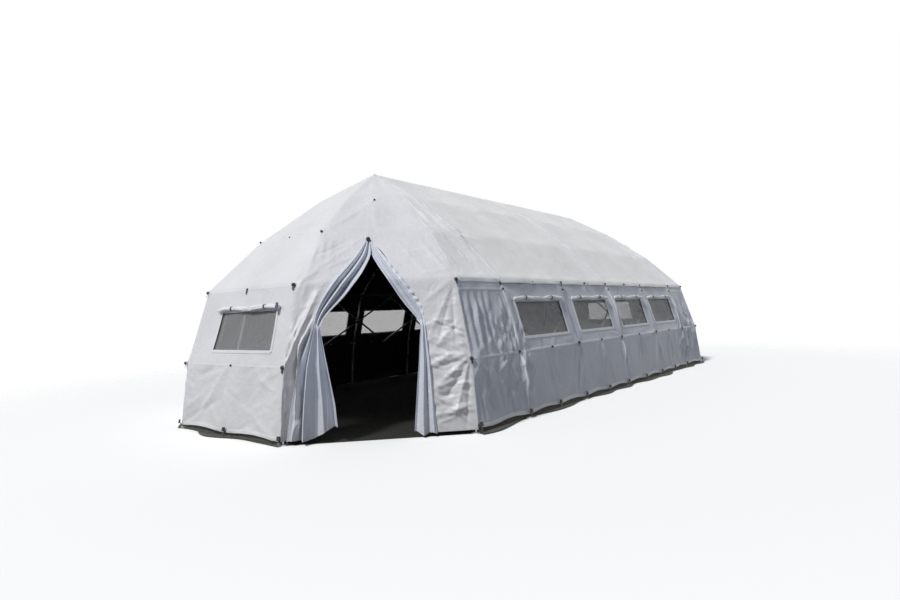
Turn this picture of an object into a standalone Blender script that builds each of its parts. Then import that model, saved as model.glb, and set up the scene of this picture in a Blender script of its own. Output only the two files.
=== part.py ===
"""Folding frame shelter: an elongated octagon of hinged arches, side scissors and fabric covers.

Metres, +Z up. The ridge runs along Y, the doorway looks out at the front right (-Y, +X),
and the origin is on the floor under the middle arch.
"""
import bpy
import bmesh
import math
from mathutils import Vector

# Driving dimensions of the arch, as half widths and heights of its hubs
BASE_HALF_WIDTH = 2.50
KNEE_HALF_WIDTH = 2.41
KNEE_HEIGHT = 0.80
EAVE_HALF_WIDTH = 2.15
EAVE_HEIGHT = 1.71
LOWER_ROOF_HALF_WIDTH = 1.54
LOWER_ROOF_HEIGHT = 2.35
UPPER_ROOF_HALF_WIDTH = 0.76
UPPER_ROOF_HEIGHT = 2.96
RIDGE_HEIGHT = 3.42

# Layout along the ridge
ARCH_COUNT = 5
BAY_LENGTH = 1.60

# Frame members
ARCH_TUBE_RADIUS = 0.020
END_TUBE_RADIUS = 0.016
HUB_RADIUS = 0.034
HUB_LENGTH = 0.052
END_HUB_RADIUS = 0.026
END_HUB_LENGTH = 0.042
FOOT_RADIUS = 0.060
FOOT_THICKNESS = 0.012
APEX_PIN_RADIUS = 0.008
COLLAR_RADIUS = 0.026
COLLAR_HEIGHT = 0.020
COLLAR_PITCH = 0.040
COLLAR_DROP = 0.070
APEX_PIN_TAIL = 0.020
TUBE_BEVEL_RESOLUTION = 2
END_BEVEL_RESOLUTION = 1
PRIMITIVE_SIDES = 8
END_HUB_SIDES = 6
CREASE_ANGLE = 35.0

# Side scissor bars
BAR_WIDTH = 0.034
BAR_THICKNESS = 0.008
PIVOT_PIN_RADIUS = 0.006
PIVOT_CLEARANCE = 0.001
FIRST_BAR_OFFSET = 0.044
BAR_PITCH = 0.012
PIN_TAIL = 0.006
BAR_END_SEGMENTS = 5
BAR_HOLE_SIDES = 8

# Fabric
FABRIC_THICKNESS = 0.004
COVER_OFFSET = 0.046
HEM_HEIGHT = 0.085
SEAM_GAP = 0.003
WINDOW_LENGTH = 1.22
WINDOW_HEIGHT = 0.48
WINDOW_HEAD_DROP = 0.26
FRONT_WINDOW_SHIFT = 0.12
WINDOW_CUT_DEPTH = 0.060
FLAP_RADIUS = 0.036
FLAP_LENGTH = 1.30
FLAP_STANDOFF = 0.006
SKIRT_OFFSET = 0.030
SKIRT_TOP = 0.150
SKIRT_REACH = 0.230
SKIRT_THICKNESS = 0.003
SKIRT_BEND_HEIGHT = 0.048
SKIRT_BEND_REACH = 0.088
SKIRT_BEND_LOWER = 0.024
SKIRT_FLAT_SHARE = 0.55
FLOOR_GAP = 0.001

# Doorway in the front right facet, from post to post as shares of the facet
DOOR_NEAR_POST_SHARE = 0.26
DOOR_FAR_POST_SHARE = 0.82
DOOR_MIDDLE_SHARE = 0.53
DOOR_TIE_HEIGHT = 1.22
DOOR_APEX_DROP = 0.10
CURTAIN_FOLDS = 4
CURTAIN_ROWS = 10
CURTAIN_COLUMNS = 20
CURTAIN_FOLD_DEPTH = 0.045
CURTAIN_HEM_HEIGHT = 0.030
CURTAIN_DEPTH = 0.120
CURTAIN_BUNCH_POWER = 0.6
# Curtain edges as shares of the facet: at the apex, at the tie and how much the hem spreads
CURTAIN_TOP_SHARES = (0.01, 0.09)
CURTAIN_TIE_SHARES = (0.01, 0.05)
CURTAIN_HEM_SPREAD = (0.07, 0.03)
# Share of the full fold depth at the tie and at the apex
TIED_DEPTH_SHARE = 0.45
APEX_DEPTH_SHARE = 0.15
APEX_DEPTH_GROWTH = 4.0

# Ends of the octagon
FACET_ANGLE = 45.0
DOOR_FACET = (22.5, 67.5)
# Compass angle of each end rib from the +X side round to the -X side, and its lowest hub:
# the front rib over the doorway stops at the lower roof hub
END_RIBS = (
    (22.5, 0),
    (45.0, 3),
    (67.5, 0),
    (90.0, 0),
    (112.5, 0),
    (135.0, 0),
    (157.5, 0),
)

PROFILE = (
    (BASE_HALF_WIDTH, FOOT_THICKNESS / 2),
    (KNEE_HALF_WIDTH, KNEE_HEIGHT),
    (EAVE_HALF_WIDTH, EAVE_HEIGHT),
    (LOWER_ROOF_HALF_WIDTH, LOWER_ROOF_HEIGHT),
    (UPPER_ROOF_HALF_WIDTH, UPPER_ROOF_HEIGHT),
    (0.0, RIDGE_HEIGHT),
)
CORNER_STRETCH = 1.0 / math.cos(math.radians(FACET_ANGLE / 2))
END_ARCH_Y = BAY_LENGTH * (ARCH_COUNT - 1) / 2

for old in list(bpy.data.objects):
    bpy.data.objects.remove(old, do_unlink=True)

parts = bpy.data.collections.new("folding_frame_shelter")
cutters = bpy.data.collections.new("cutters")
bpy.context.scene.collection.children.link(parts)
bpy.context.scene.collection.children.link(cutters)


def material(name, colour, roughness, metallic=0.0):
    """A Principled material of one colour."""
    made = bpy.data.materials.new(name)
    made.use_nodes = True
    shader = made.node_tree.nodes["Principled BSDF"]
    shader.inputs["Base Color"].default_value = (*colour, 1.0)
    shader.inputs["Roughness"].default_value = roughness
    shader.inputs["Metallic"].default_value = metallic
    return made


ALUMINIUM = material("aluminium", (0.62, 0.63, 0.65), 0.38, 0.9)
ROOF_FABRIC = material("roof_fabric", (0.66, 0.66, 0.63), 0.6)
WALL_FABRIC = material("wall_fabric", (0.70, 0.71, 0.76), 0.55)
FLAP_FABRIC = material("flap_fabric", (0.74, 0.75, 0.80), 0.6)
SKIRT_FABRIC = material("skirt_fabric", (0.10, 0.10, 0.08), 0.85)


def link_part(obj, name, finish):
    """Name a finished solid and put it among the parts."""
    obj.name = name
    obj.data.name = name
    obj.data.materials.clear()
    obj.data.materials.append(finish)
    for owner in list(obj.users_collection):
        owner.objects.unlink(obj)
    parts.objects.link(obj)
    return obj


def mesh_object(mesh, holder=cutters):
    """An object for a mesh, out of the render until it is a part."""
    obj = bpy.data.objects.new(mesh.name, mesh)
    holder.objects.link(obj)
    return obj


def evaluated_mesh(obj):
    """The mesh of an object after its modifiers or its curve bevel."""
    bpy.context.view_layer.update()
    graph = bpy.context.evaluated_depsgraph_get()
    return bpy.data.meshes.new_from_object(obj.evaluated_get(graph))


def weld(mesh):
    """Join the loose caps of a mesh made from a curve."""
    work = bmesh.new()
    work.from_mesh(mesh)
    bmesh.ops.remove_doubles(work, verts=work.verts, dist=0.00005)
    bmesh.ops.recalc_face_normals(work, faces=work.faces)
    work.to_mesh(mesh)
    work.free()


def curve_to_mesh(curve):
    """Turn a curve into a welded mesh object at the same place."""
    obj = bpy.data.objects.new("guide", curve)
    cutters.objects.link(obj)
    mesh = evaluated_mesh(obj)
    bpy.data.objects.remove(obj, do_unlink=True)
    weld(mesh)
    return mesh_object(mesh)


def tube(points, radius, bevel_resolution=TUBE_BEVEL_RESOLUTION):
    """A round bar through the points, with flat closed ends."""
    curve = bpy.data.curves.new("tube", "CURVE")
    curve.dimensions = "3D"
    curve.bevel_depth = radius
    curve.bevel_resolution = bevel_resolution
    curve.use_fill_caps = True
    line = curve.splines.new("POLY")
    line.points.add(len(points) - 1)
    for target, point in zip(line.points, points):
        target.co = (*point, 1.0)
    return curve_to_mesh(curve)


def disc(centre, axis, radius, length, sides=PRIMITIVE_SIDES):
    """A short cylinder round an axis."""
    mesh = bpy.data.meshes.new("disc")
    work = bmesh.new()
    bmesh.ops.create_cone(work, cap_ends=True, segments=sides, radius1=radius, radius2=radius, depth=length)
    turn = Vector(axis).to_track_quat("Z", "Y").to_matrix().to_4x4()
    turn.translation = Vector(centre)
    bmesh.ops.transform(work, matrix=turn, verts=work.verts)
    work.to_mesh(mesh)
    work.free()
    return mesh_object(mesh)


def combine(base, others, operation):
    """Join or cut solids one after another and return the result as one solid."""
    for other in others:
        other.hide_render = True
        other.display_type = "WIRE"
        step = base.modifiers.new("combine", "BOOLEAN")
        step.operation = operation
        step.object = other
    mesh = evaluated_mesh(base)
    result = mesh_object(mesh)
    for used in [base, *others]:
        bpy.data.objects.remove(used, do_unlink=True)
    return result


def smooth(obj):
    """Smooth shading with sharp edges kept."""
    obj.data.shade_smooth()
    obj.data.set_sharp_from_angle(angle=math.radians(CREASE_ANGLE))
    return obj


def arch_point(level, side, y):
    """A hub of an arch: level 0 is the foot and 5 the ridge."""
    half_width, height = PROFILE[level]
    return Vector((side * half_width, y, height))


def wall_frame(side):
    """Middle of the knee to eave leg, its upward direction and its inward normal."""
    knee = arch_point(1, side, 0.0)
    eave = arch_point(2, side, 0.0)
    up = (eave - knee).normalized()
    inward = Vector((-side * up.z, 0.0, side * up.x))
    return (knee + eave) / 2, up, inward


HALF_RISE = (arch_point(2, 1, 0.0) - arch_point(1, 1, 0.0)).length / 2
BAR_HALF_LENGTH = math.hypot(HALF_RISE, BAY_LENGTH / 2)
BAR_ANGLE = math.atan2(HALF_RISE, BAY_LENGTH / 2)


def arch(number):
    """One full arch: bent tube, hubs, feet and the two pins that carry the side scissors."""
    y = (number - 1) * BAY_LENGTH - END_ARCH_Y
    left = [arch_point(level, -1, y) for level in range(5)]
    right = [arch_point(level, 1, y) for level in range(5)]
    ridge = arch_point(5, 1, y)
    body = tube([*left, ridge, *reversed(right)], ARCH_TUBE_RADIUS)
    extras = [disc(p, (0, 1, 0), HUB_RADIUS, HUB_LENGTH) for p in [*left[1:], ridge, *right[1:]]]
    for side in (-1, 1):
        foot = Vector((side * BASE_HALF_WIDTH, y, FOOT_THICKNESS / 2))
        extras.append(disc(foot, (0, 0, 1), FOOT_RADIUS, FOOT_THICKNESS))
        middle, _, inward = wall_frame(side)
        reach = FIRST_BAR_OFFSET + BAR_PITCH + BAR_THICKNESS / 2 + PIN_TAIL
        pin = middle + inward * reach / 2 + Vector((0, y, 0))
        extras.append(disc(pin, inward, PIVOT_PIN_RADIUS, reach))
    if number in (1, ARCH_COUNT):
        length = COLLAR_DROP + COLLAR_PITCH * len(END_RIBS) + APEX_PIN_TAIL
        pin = ridge - Vector((0, 0, length / 2))
        extras.append(disc(pin, (0, 0, 1), APEX_PIN_RADIUS, length))
    link_part(smooth(combine(body, extras, "UNION")), f"arch_{number}", ALUMINIUM)


def scissor_bar(name, side, y, rising, layer):
    """A flat bar with a hole at its middle and ends, lying along the side wall."""
    curve = bpy.data.curves.new(name, "CURVE")
    curve.dimensions = "2D"
    curve.fill_mode = "BOTH"
    curve.extrude = BAR_THICKNESS / 2
    outline = curve.splines.new("POLY")
    corners = []
    for end in (1, -1):
        for step in range(BAR_END_SEGMENTS + 1):
            angle = math.pi * (step / BAR_END_SEGMENTS - 0.5)
            across = end * BAR_WIDTH / 2 * math.sin(angle)
            corners.append((end * (BAR_HALF_LENGTH + BAR_WIDTH / 2 * math.cos(angle)), across))
    outline.points.add(len(corners) - 1)
    outline.use_cyclic_u = True
    for target, (along, across) in zip(outline.points, corners):
        target.co = (along, across, 0, 1)
    hole = curve.splines.new("POLY")
    hole.points.add(BAR_HOLE_SIDES - 1)
    hole.use_cyclic_u = True
    radius = (PIVOT_PIN_RADIUS + PIVOT_CLEARANCE) / math.cos(math.pi / BAR_HOLE_SIDES)
    for index, target in enumerate(hole.points):
        angle = 2 * math.pi * index / BAR_HOLE_SIDES
        target.co = (radius * math.cos(angle), radius * math.sin(angle), 0, 1)
    bar = curve_to_mesh(curve)
    middle, up, inward = wall_frame(side)
    along = Vector((0, math.cos(BAR_ANGLE), 0)) + up * (rising * math.sin(BAR_ANGLE))
    outward = -inward
    across = outward.cross(along)
    place = middle + Vector((0, y, 0)) + inward * (FIRST_BAR_OFFSET + layer * BAR_PITCH)
    for vertex in bar.data.vertices:
        local = vertex.co.copy()
        vertex.co = along * local.x + across * local.y + outward * local.z
    bar.location = place
    link_part(bar, name, ALUMINIUM)


def end_rib_point(level, stretch, angle, end):
    """A hub of an end rib that stands at a compass angle round the ridge end."""
    radius, height = PROFILE[level]
    turned = math.radians(angle)
    reach = radius * stretch
    return Vector((reach * math.cos(turned), end * (END_ARCH_Y + reach * math.sin(turned)), height))


def end_rib(end, index):
    """One rib of the octagonal end, hung by its collar on the pin at the ridge end."""
    angle, lowest = END_RIBS[index]
    if end > 0:
        lowest = 0
    stretch = 1.0 if angle % FACET_ANGLE == 0 else CORNER_STRETCH
    axis = Vector((0, end * END_ARCH_Y, 0))
    collar_z = RIDGE_HEIGHT - COLLAR_DROP - COLLAR_PITCH * index
    start = axis + Vector((0, 0, collar_z))
    heading = Vector((math.cos(math.radians(angle)), end * math.sin(math.radians(angle)), 0))
    hubs = [end_rib_point(level, stretch, angle, end) for level in range(4, lowest - 1, -1)]
    body = tube([start + heading * COLLAR_RADIUS / 2, *hubs], END_TUBE_RADIUS, END_BEVEL_RESOLUTION)
    across = heading.cross(Vector((0, 0, 1)))
    shown = hubs if lowest else hubs[:-1]
    extras = [disc(hub, across, END_HUB_RADIUS, END_HUB_LENGTH, END_HUB_SIDES) for hub in shown]
    extras.append(disc(start, (0, 0, 1), COLLAR_RADIUS, COLLAR_HEIGHT))
    if not lowest:
        foot = Vector((hubs[-1].x, hubs[-1].y, FOOT_THICKNESS / 2))
        extras.append(disc(foot, (0, 0, 1), FOOT_RADIUS, FOOT_THICKNESS))
    solid = combine(body, extras, "UNION")
    bore = disc(start, (0, 0, 1), APEX_PIN_RADIUS + PIVOT_CLEARANCE, 4 * COLLAR_HEIGHT)
    solid = combine(solid, [bore], "DIFFERENCE")
    label = "front" if end < 0 else "rear"
    link_part(smooth(solid), f"{label}_end_rib_{index + 1}", ALUMINIUM)


def offset_profile(distance, hem):
    """The arch profile moved outwards, from the hem up to the ridge."""
    lines = []
    for (r0, z0), (r1, z1) in zip(PROFILE, PROFILE[1:]):
        direction = Vector((r1 - r0, z1 - z0)).normalized()
        normal = Vector((direction.y, -direction.x))
        lines.append((Vector((r0, z0)) + normal * distance, direction))
    points = []
    base, direction = lines[0]
    points.append(base + direction * ((hem - base.y) / direction.y))
    for (p0, d0), (p1, d1) in zip(lines, lines[1:]):
        gap = p1 - p0
        scale = (gap.x * d1.y - gap.y * d1.x) / (d0.x * d1.y - d0.y * d1.x)
        points.append(p0 + d0 * scale)
    base, direction = lines[-1]
    points.append(base + direction * (-base.x / direction.x))
    return points


COVER = offset_profile(COVER_OFFSET, HEM_HEIGHT)


def sheet(name, grid, finish, thickness=FABRIC_THICKNESS):
    """A fabric panel of the given rows of points, thickened into one closed solid."""
    mesh = bpy.data.meshes.new(name)
    work = bmesh.new()
    rows = [[work.verts.new(point) for point in row] for row in grid]
    for lower, upper in zip(rows, rows[1:]):
        for a, b, c, d in zip(lower, lower[1:], upper[1:], upper):
            work.faces.new([a, b, c, d])
    bmesh.ops.remove_doubles(work, verts=work.verts, dist=0.0001)
    bmesh.ops.recalc_face_normals(work, faces=work.faces)
    work.to_mesh(mesh)
    work.free()
    obj = mesh_object(mesh)
    thicken(obj, thickness)
    return link_part(obj, name, finish)


def thicken(obj, thickness):
    """Give an open sheet its thickness, half on each side."""
    shell = obj.modifiers.new("thickness", "SOLIDIFY")
    shell.thickness = thickness
    shell.offset = 0.0
    shell.use_even_offset = True


def cover_point(level, angle, end, shrink=0.0):
    """A point of the end cover at a level of the cover profile."""
    radius, height = COVER[level]
    stretch = 1.0 if angle % FACET_ANGLE == 0 else CORNER_STRETCH
    turned = math.radians(angle)
    reach = radius * stretch
    y = END_ARCH_Y + reach * math.sin(turned)
    return Vector((reach * math.cos(turned), end * max(y, END_ARCH_Y + shrink), height))


def roof_cover():
    """The main roof from arch to arch, eave over ridge to eave."""
    across = [(-1, level) for level in range(2, 5)] + [(1, 5)] + [(1, level) for level in range(4, 1, -1)]
    length = END_ARCH_Y - SEAM_GAP
    grid = []
    for station in range(ARCH_COUNT):
        y = -length + 2 * length * station / (ARCH_COUNT - 1)
        grid.append([Vector((side * COVER[level].x, y, COVER[level].y)) for side, level in across])
    sheet("roof_cover", grid, ROOF_FABRIC)


def side_wall(side):
    """A straight side wall from corner rib to corner rib, below the eave."""
    label = "right" if side > 0 else "left"
    corner = math.tan(math.radians(FACET_ANGLE / 2))
    drop = SEAM_GAP * 2
    slope = (COVER[1] - COVER[2]).normalized()
    levels = [COVER[0], COVER[1], COVER[2] + slope * drop]
    grid = []
    for point in levels:
        reach = END_ARCH_Y + corner * point.x - SEAM_GAP * 2
        stations = [-reach] + [(n * BAY_LENGTH / 2) - END_ARCH_Y for n in range(2 * ARCH_COUNT - 1)] + [reach]
        grid.append([Vector((side * point.x, y, point.y)) for y in stations])
    sheet(f"{label}_wall_cover", grid, WALL_FABRIC)


def end_cover(end):
    """The octagonal end: hip roof above the eave and facets below it, open at the doorway."""
    label = "front" if end < 0 else "rear"
    mesh = bpy.data.meshes.new(label)
    work = bmesh.new()
    angles = [0.0] + [angle for angle, _ in END_RIBS] + [180.0]
    made = {}

    def vertex(level, angle):
        if level == 5:
            key, place = "apex", cover_point(5, 0.0, end, SEAM_GAP)
        else:
            key, place = (level, angle), cover_point(level, angle, end, SEAM_GAP)
        if key not in made:
            made[key] = work.verts.new(place)
        return made[key]

    for first, second in zip(angles, angles[1:]):
        for level in range(5):
            beside_wall = level < 2 and (first == 0.0 or second == 180.0)
            doorway = end < 0 and level < 3 and DOOR_FACET[0] <= first < DOOR_FACET[1]
            if beside_wall or doorway:
                continue
            ring = [vertex(level, first), vertex(level, second), vertex(level + 1, second), vertex(level + 1, first)]
            unique = list(dict.fromkeys(ring))
            work.faces.new(unique)
    if end < 0:
        door_surround(work, vertex, end)
    bmesh.ops.recalc_face_normals(work, faces=work.faces)
    work.to_mesh(mesh)
    work.free()
    obj = mesh_object(mesh)
    thicken(obj, FABRIC_THICKNESS)
    link_part(obj, f"{label}_end_cover", WALL_FABRIC)


def door_surround(work, vertex, end):
    """Panels on both sides of the pointed doorway."""
    for corner, share in zip(DOOR_FACET, (DOOR_NEAR_POST_SHARE, DOOR_FAR_POST_SHARE)):
        posts = []
        for level in range(3):
            near = cover_point(level, DOOR_FACET[0], end)
            far = cover_point(level, DOOR_FACET[1], end)
            posts.append(work.verts.new(near.lerp(far, share)))
        columns = [vertex(level, corner) for level in range(4)]
        for level in range(2):
            work.faces.new([columns[level], posts[level], posts[level + 1], columns[level + 1]])
        work.faces.new([columns[2], posts[2], vertex(3, 45.0), columns[3]])


def wall_point_at(height):
    """Point, upward direction and outward normal of the upper wall cover at a height."""
    low, high = COVER[1], COVER[2]
    share = (height - low.y) / (high.y - low.y)
    direction = (high - low).normalized()
    return low.lerp(high, share), direction, Vector((direction.y, -direction.x))


def window_cutter(middle, direction, outward):
    """A block that opens a window in a cover."""
    up = outward.cross(direction)
    mesh = bpy.data.meshes.new("window_cutter")
    work = bmesh.new()
    bmesh.ops.create_cube(work, size=1.0)
    for vertex in work.verts:
        local = vertex.co.copy()
        vertex.co = middle + direction * (local.x * WINDOW_LENGTH)
        vertex.co += up * (local.y * WINDOW_HEIGHT) + outward * (local.z * WINDOW_CUT_DEPTH)
    bmesh.ops.recalc_face_normals(work, faces=work.faces)
    work.to_mesh(mesh)
    work.free()
    return mesh_object(mesh)


def window_flap(name, middle, direction, outward):
    """A rolled window flap lying on the wall above its window."""
    half = direction * (FLAP_LENGTH / 2)
    place = middle + outward * (FLAP_RADIUS + FLAP_STANDOFF)
    roll = tube([place - half, place + half], FLAP_RADIUS)
    link_part(smooth(roll), name, FLAP_FABRIC)


def cut_windows():
    """Four windows on each side and one on each end, each with its rolled flap above it."""
    head = EAVE_HEIGHT - WINDOW_HEAD_DROP
    point, rise, normal = wall_point_at(head + FLAP_RADIUS)
    sash = point - rise * (WINDOW_HEIGHT / 2 + FLAP_RADIUS)
    for side, label in ((1, "right"), (-1, "left")):
        outward = Vector((side * normal.x, 0, normal.y))
        along = Vector((0, 1, 0))
        openings = []
        for bay in range(ARCH_COUNT - 1):
            y = (bay + 0.5) * BAY_LENGTH - END_ARCH_Y
            window_flap(f"{label}_window_flap_{bay + 1}", Vector((side * point.x, y, point.y)), along, outward)
            openings.append(window_cutter(Vector((side * sash.x, y, sash.y)), along, outward))
        open_cover(f"{label}_wall_cover", openings)
    for end, label in ((-1, "front"), (1, "rear")):
        outward = Vector((0, end * normal.x, normal.y))
        along = Vector((1, 0, 0))
        x = -end * FRONT_WINDOW_SHIFT
        window_flap(f"{label}_window_flap", Vector((x, end * (END_ARCH_Y + point.x), point.y)), along, outward)
        opening = window_cutter(Vector((x, end * (END_ARCH_Y + sash.x), sash.y)), along, outward)
        open_cover(f"{label}_end_cover", [opening])


def open_cover(name, openings):
    """Cut the windows out of a finished cover."""
    cover = parts.objects[name]
    finish = cover.data.materials[0]
    cover.name = "uncut"
    link_part(combine(cover, openings, "DIFFERENCE"), name, finish)


def ground_skirt():
    """The dark skirt under the hem that lies on the ground, open at the doorway."""
    section = (
        (SKIRT_OFFSET, SKIRT_TOP),
        (SKIRT_OFFSET, SKIRT_BEND_HEIGHT),
        (SKIRT_BEND_REACH, SKIRT_BEND_LOWER),
        (SKIRT_REACH * SKIRT_FLAT_SHARE, FLOOR_GAP + SKIRT_THICKNESS),
        (SKIRT_REACH, FLOOR_GAP + SKIRT_THICKNESS),
    )
    wall_lean = (KNEE_HALF_WIDTH - BASE_HALF_WIDTH) / KNEE_HEIGHT
    front = [(DOOR_FACET[1] + FACET_ANGLE * step, -1) for step in range(3)]
    rear = [(angle, 1) for angle, _ in reversed(front)]
    corners = [*front, *rear, (DOOR_FACET[0], 1), (DOOR_FACET[0], -1)]
    grid = []
    for outset, height in section:
        apothem = BASE_HALF_WIDTH + wall_lean * height + outset
        row = []
        for angle, end in corners:
            turned = math.radians(angle)
            reach = apothem * CORNER_STRETCH
            row.append(Vector((reach * math.cos(turned), end * (END_ARCH_Y + reach * math.sin(turned)), height)))
        grid.append(row)
    sheet("ground_skirt", grid, SKIRT_FABRIC, SKIRT_THICKNESS)


def door_facet_point(height, share):
    """A point in the cover of the doorway facet, at a height and a share of its width."""
    level = next((n for n in range(2) if height <= COVER[n + 1].y), 2)
    low, high = COVER[level], COVER[level + 1]
    radius = low.x + (high.x - low.x) * (height - low.y) / (high.y - low.y)
    ends = []
    for angle in DOOR_FACET:
        turned = math.radians(angle)
        reach = radius * CORNER_STRETCH
        ends.append(Vector((reach * math.cos(turned), -END_ARCH_Y - reach * math.sin(turned), height)))
    return ends[0].lerp(ends[1], share)


def door_curtain(label, post, towards):
    """A tied back curtain: pleats gathered at the tie, spreading to the apex above and the hem below."""
    facing = math.radians(sum(DOOR_FACET) / 2)
    outward = Vector((math.cos(facing), -math.sin(facing), 0))
    top = LOWER_ROOF_HEIGHT - DOOR_APEX_DROP
    apex_edges = [DOOR_MIDDLE_SHARE + towards * share for share in CURTAIN_TOP_SHARES]
    tie_edges = (post - towards * CURTAIN_TIE_SHARES[0], post + towards * CURTAIN_TIE_SHARES[1])
    grid = []
    for row in range(CURTAIN_ROWS + 1):
        down = row / CURTAIN_ROWS
        height = top + (CURTAIN_HEM_HEIGHT - top) * down
        if height > DOOR_TIE_HEIGHT:
            spread = (top - height) / (top - DOOR_TIE_HEIGHT)
            inner = apex_edges[0] + (tie_edges[0] - apex_edges[0]) * spread
            outer = apex_edges[1] + (tie_edges[1] - apex_edges[1]) * spread ** CURTAIN_BUNCH_POWER
        else:
            spread = (DOOR_TIE_HEIGHT - height) / (DOOR_TIE_HEIGHT - CURTAIN_HEM_HEIGHT)
            inner = tie_edges[0] - towards * CURTAIN_HEM_SPREAD[0] * spread
            outer = tie_edges[1] + towards * CURTAIN_HEM_SPREAD[1] * spread
        depth = CURTAIN_FOLD_DEPTH * (TIED_DEPTH_SHARE + (1 - TIED_DEPTH_SHARE) * spread)
        depth *= min(1.0, APEX_DEPTH_GROWTH * down + APEX_DEPTH_SHARE)
        points = []
        for column in range(CURTAIN_COLUMNS + 1):
            part = column / CURTAIN_COLUMNS
            wave = math.sin(2 * math.pi * CURTAIN_FOLDS * part)
            place = door_facet_point(height, inner + (outer - inner) * part)
            points.append(place + outward * (wave * depth - CURTAIN_DEPTH))
        grid.append(points)
    sheet(f"door_curtain_{label}", grid, WALL_FABRIC)


for number in range(1, ARCH_COUNT + 1):
    arch(number)
    arch_y = (number - 1) * BAY_LENGTH - END_ARCH_Y
    for side, label in ((1, "right"), (-1, "left")):
        scissor_bar(f"{label}_rising_bar_{number}", side, arch_y, 1, 0)
        scissor_bar(f"{label}_falling_bar_{number}", side, arch_y, -1, 1)

for end in (-1, 1):
    for index in range(len(END_RIBS)):
        end_rib(end, index)
    end_cover(end)

roof_cover()
side_wall(1)
side_wall(-1)
cut_windows()
ground_skirt()
door_curtain("right", DOOR_NEAR_POST_SHARE, -1)
door_curtain("left", DOOR_FAR_POST_SHARE, 1)
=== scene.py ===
import math
import random

import bpy
import bmesh
import numpy as np
from mathutils import Matrix, Vector, noise


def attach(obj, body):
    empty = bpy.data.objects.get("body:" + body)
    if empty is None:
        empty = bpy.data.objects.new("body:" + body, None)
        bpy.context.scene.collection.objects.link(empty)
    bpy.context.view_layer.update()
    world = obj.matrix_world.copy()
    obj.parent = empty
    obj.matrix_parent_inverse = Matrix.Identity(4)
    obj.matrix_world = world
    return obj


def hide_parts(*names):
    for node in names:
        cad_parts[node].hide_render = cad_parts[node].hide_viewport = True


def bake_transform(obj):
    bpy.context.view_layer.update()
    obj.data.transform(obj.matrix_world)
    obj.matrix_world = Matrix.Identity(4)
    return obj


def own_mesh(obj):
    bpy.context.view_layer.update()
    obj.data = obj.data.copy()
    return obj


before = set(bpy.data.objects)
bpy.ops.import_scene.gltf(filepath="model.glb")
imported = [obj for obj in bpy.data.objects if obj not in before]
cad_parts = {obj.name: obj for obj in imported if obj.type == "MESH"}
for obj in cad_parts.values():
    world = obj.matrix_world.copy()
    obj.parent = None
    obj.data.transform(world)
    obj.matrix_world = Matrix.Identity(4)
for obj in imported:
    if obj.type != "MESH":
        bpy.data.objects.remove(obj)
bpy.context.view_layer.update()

# The shelter's driving dimensions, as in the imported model, in metres

# Hubs of an arch from the ground to the ridge: distance from the middle, then height
HUBS = (
    (2.50, 0.006),
    (2.41, 0.80),
    (2.15, 1.71),
    (1.54, 2.35),
    (0.76, 2.96),
    (0.0, 3.42),
)
# Levels of the cover count the hubs from the ground
KNEE, EAVE, LOWER_ROOF, UPPER_ROOF, RIDGE = 1.0, 2.0, 3.0, 4.0, 5.0
COVER_OFFSET = 0.046
HEM_HEIGHT = 0.045
BAY_LENGTH = 1.60
BAY_COUNT = 4
END_Y = BAY_LENGTH * BAY_COUNT / 2
FACET_ANGLE = 45.0
RIB_STEP = FACET_ANGLE / 2
CORNER_SLOPE = math.tan(math.radians(RIB_STEP))
RIBS = [RIB_STEP * n for n in range(9)]
ARCH_STATIONS = [n * BAY_LENGTH - END_Y for n in range(BAY_COUNT + 1)]
MIDDLE_STATIONS = [(n + 0.5) * BAY_LENGTH - END_Y for n in range(BAY_COUNT)]

# Windows
WINDOW_LENGTH = 1.22
WINDOW_SILL = 0.97
WINDOW_HEAD = 1.45
FRONT_WINDOW_SHIFT = 0.12
FLAP_LENGTH = 1.30
FLAP_RADIUS = 0.027
BINDING_WIDTH = 0.040
ROLL_TIES = (0.22, 0.76)
ROLL_RINGS = 60
ROLL_SIDES = 24
TIE_SIDES = 16

# Doorway, as shares of the facet from its near corner and heights
DOOR_FACET = (22.5, 67.5)
DOOR_APEX_HEIGHT = 2.26
DOOR_TIE_HEIGHT = 1.23
DOOR_APEX = 0.55
# Height, then the panel's edge
PANEL_EDGES = {
    "right": (
        (0.0, 0.25), (0.6, 0.245), (1.22, 0.235), (1.456, 0.241), (1.75, 0.345), (2.08, 0.443), (2.26, DOOR_APEX),
    ),
    "left": (
        (0.0, 0.90), (0.6, 0.89), (1.10, 0.87), (1.25, 0.855),
        (1.45, 0.835), (1.80, 0.725), (2.10, 0.625), (2.26, DOOR_APEX),
    ),
}
# Height, then the curtain's outer and inner edge and how loose it hangs
CURTAIN_LINES = {
    "right": (
        (0.0, 0.215, 0.335, 1.0),
        (0.6, 0.222, 0.300, 0.9),
        (1.05, 0.228, 0.268, 0.5),
        (1.22, 0.228, 0.252, 0.25),
        (1.32, 0.224, 0.285, 0.5),
        (1.456, 0.232, 0.340, 0.9),
        (1.75, 0.330, 0.432, 1.0),
        (2.05, 0.440, 0.530, 0.7),
        (2.26, 0.535, 0.555, 0.2),
    ),
    "left": (
        (0.0, 0.97, 0.705, 1.0),
        (0.4, 0.95, 0.725, 1.0),
        (0.8, 0.92, 0.765, 0.8),
        (1.10, 0.88, 0.805, 0.45),
        (1.25, 0.862, 0.826, 0.22),
        (1.38, 0.865, 0.780, 0.6),
        (1.55, 0.840, 0.690, 1.0),
        (1.80, 0.755, 0.595, 1.0),
        (2.05, 0.655, 0.532, 0.7),
        (2.26, 0.575, 0.545, 0.2),
    ),
}
# How the bends in those lines are eased: heights to look beside, and their weights
EASING = ((-0.06, 0.25), (0.0, 0.5), (0.06, 0.25))
DOOR_OUTWARDS = Vector((0.68, -0.68, 0.28)).normalized()

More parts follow.
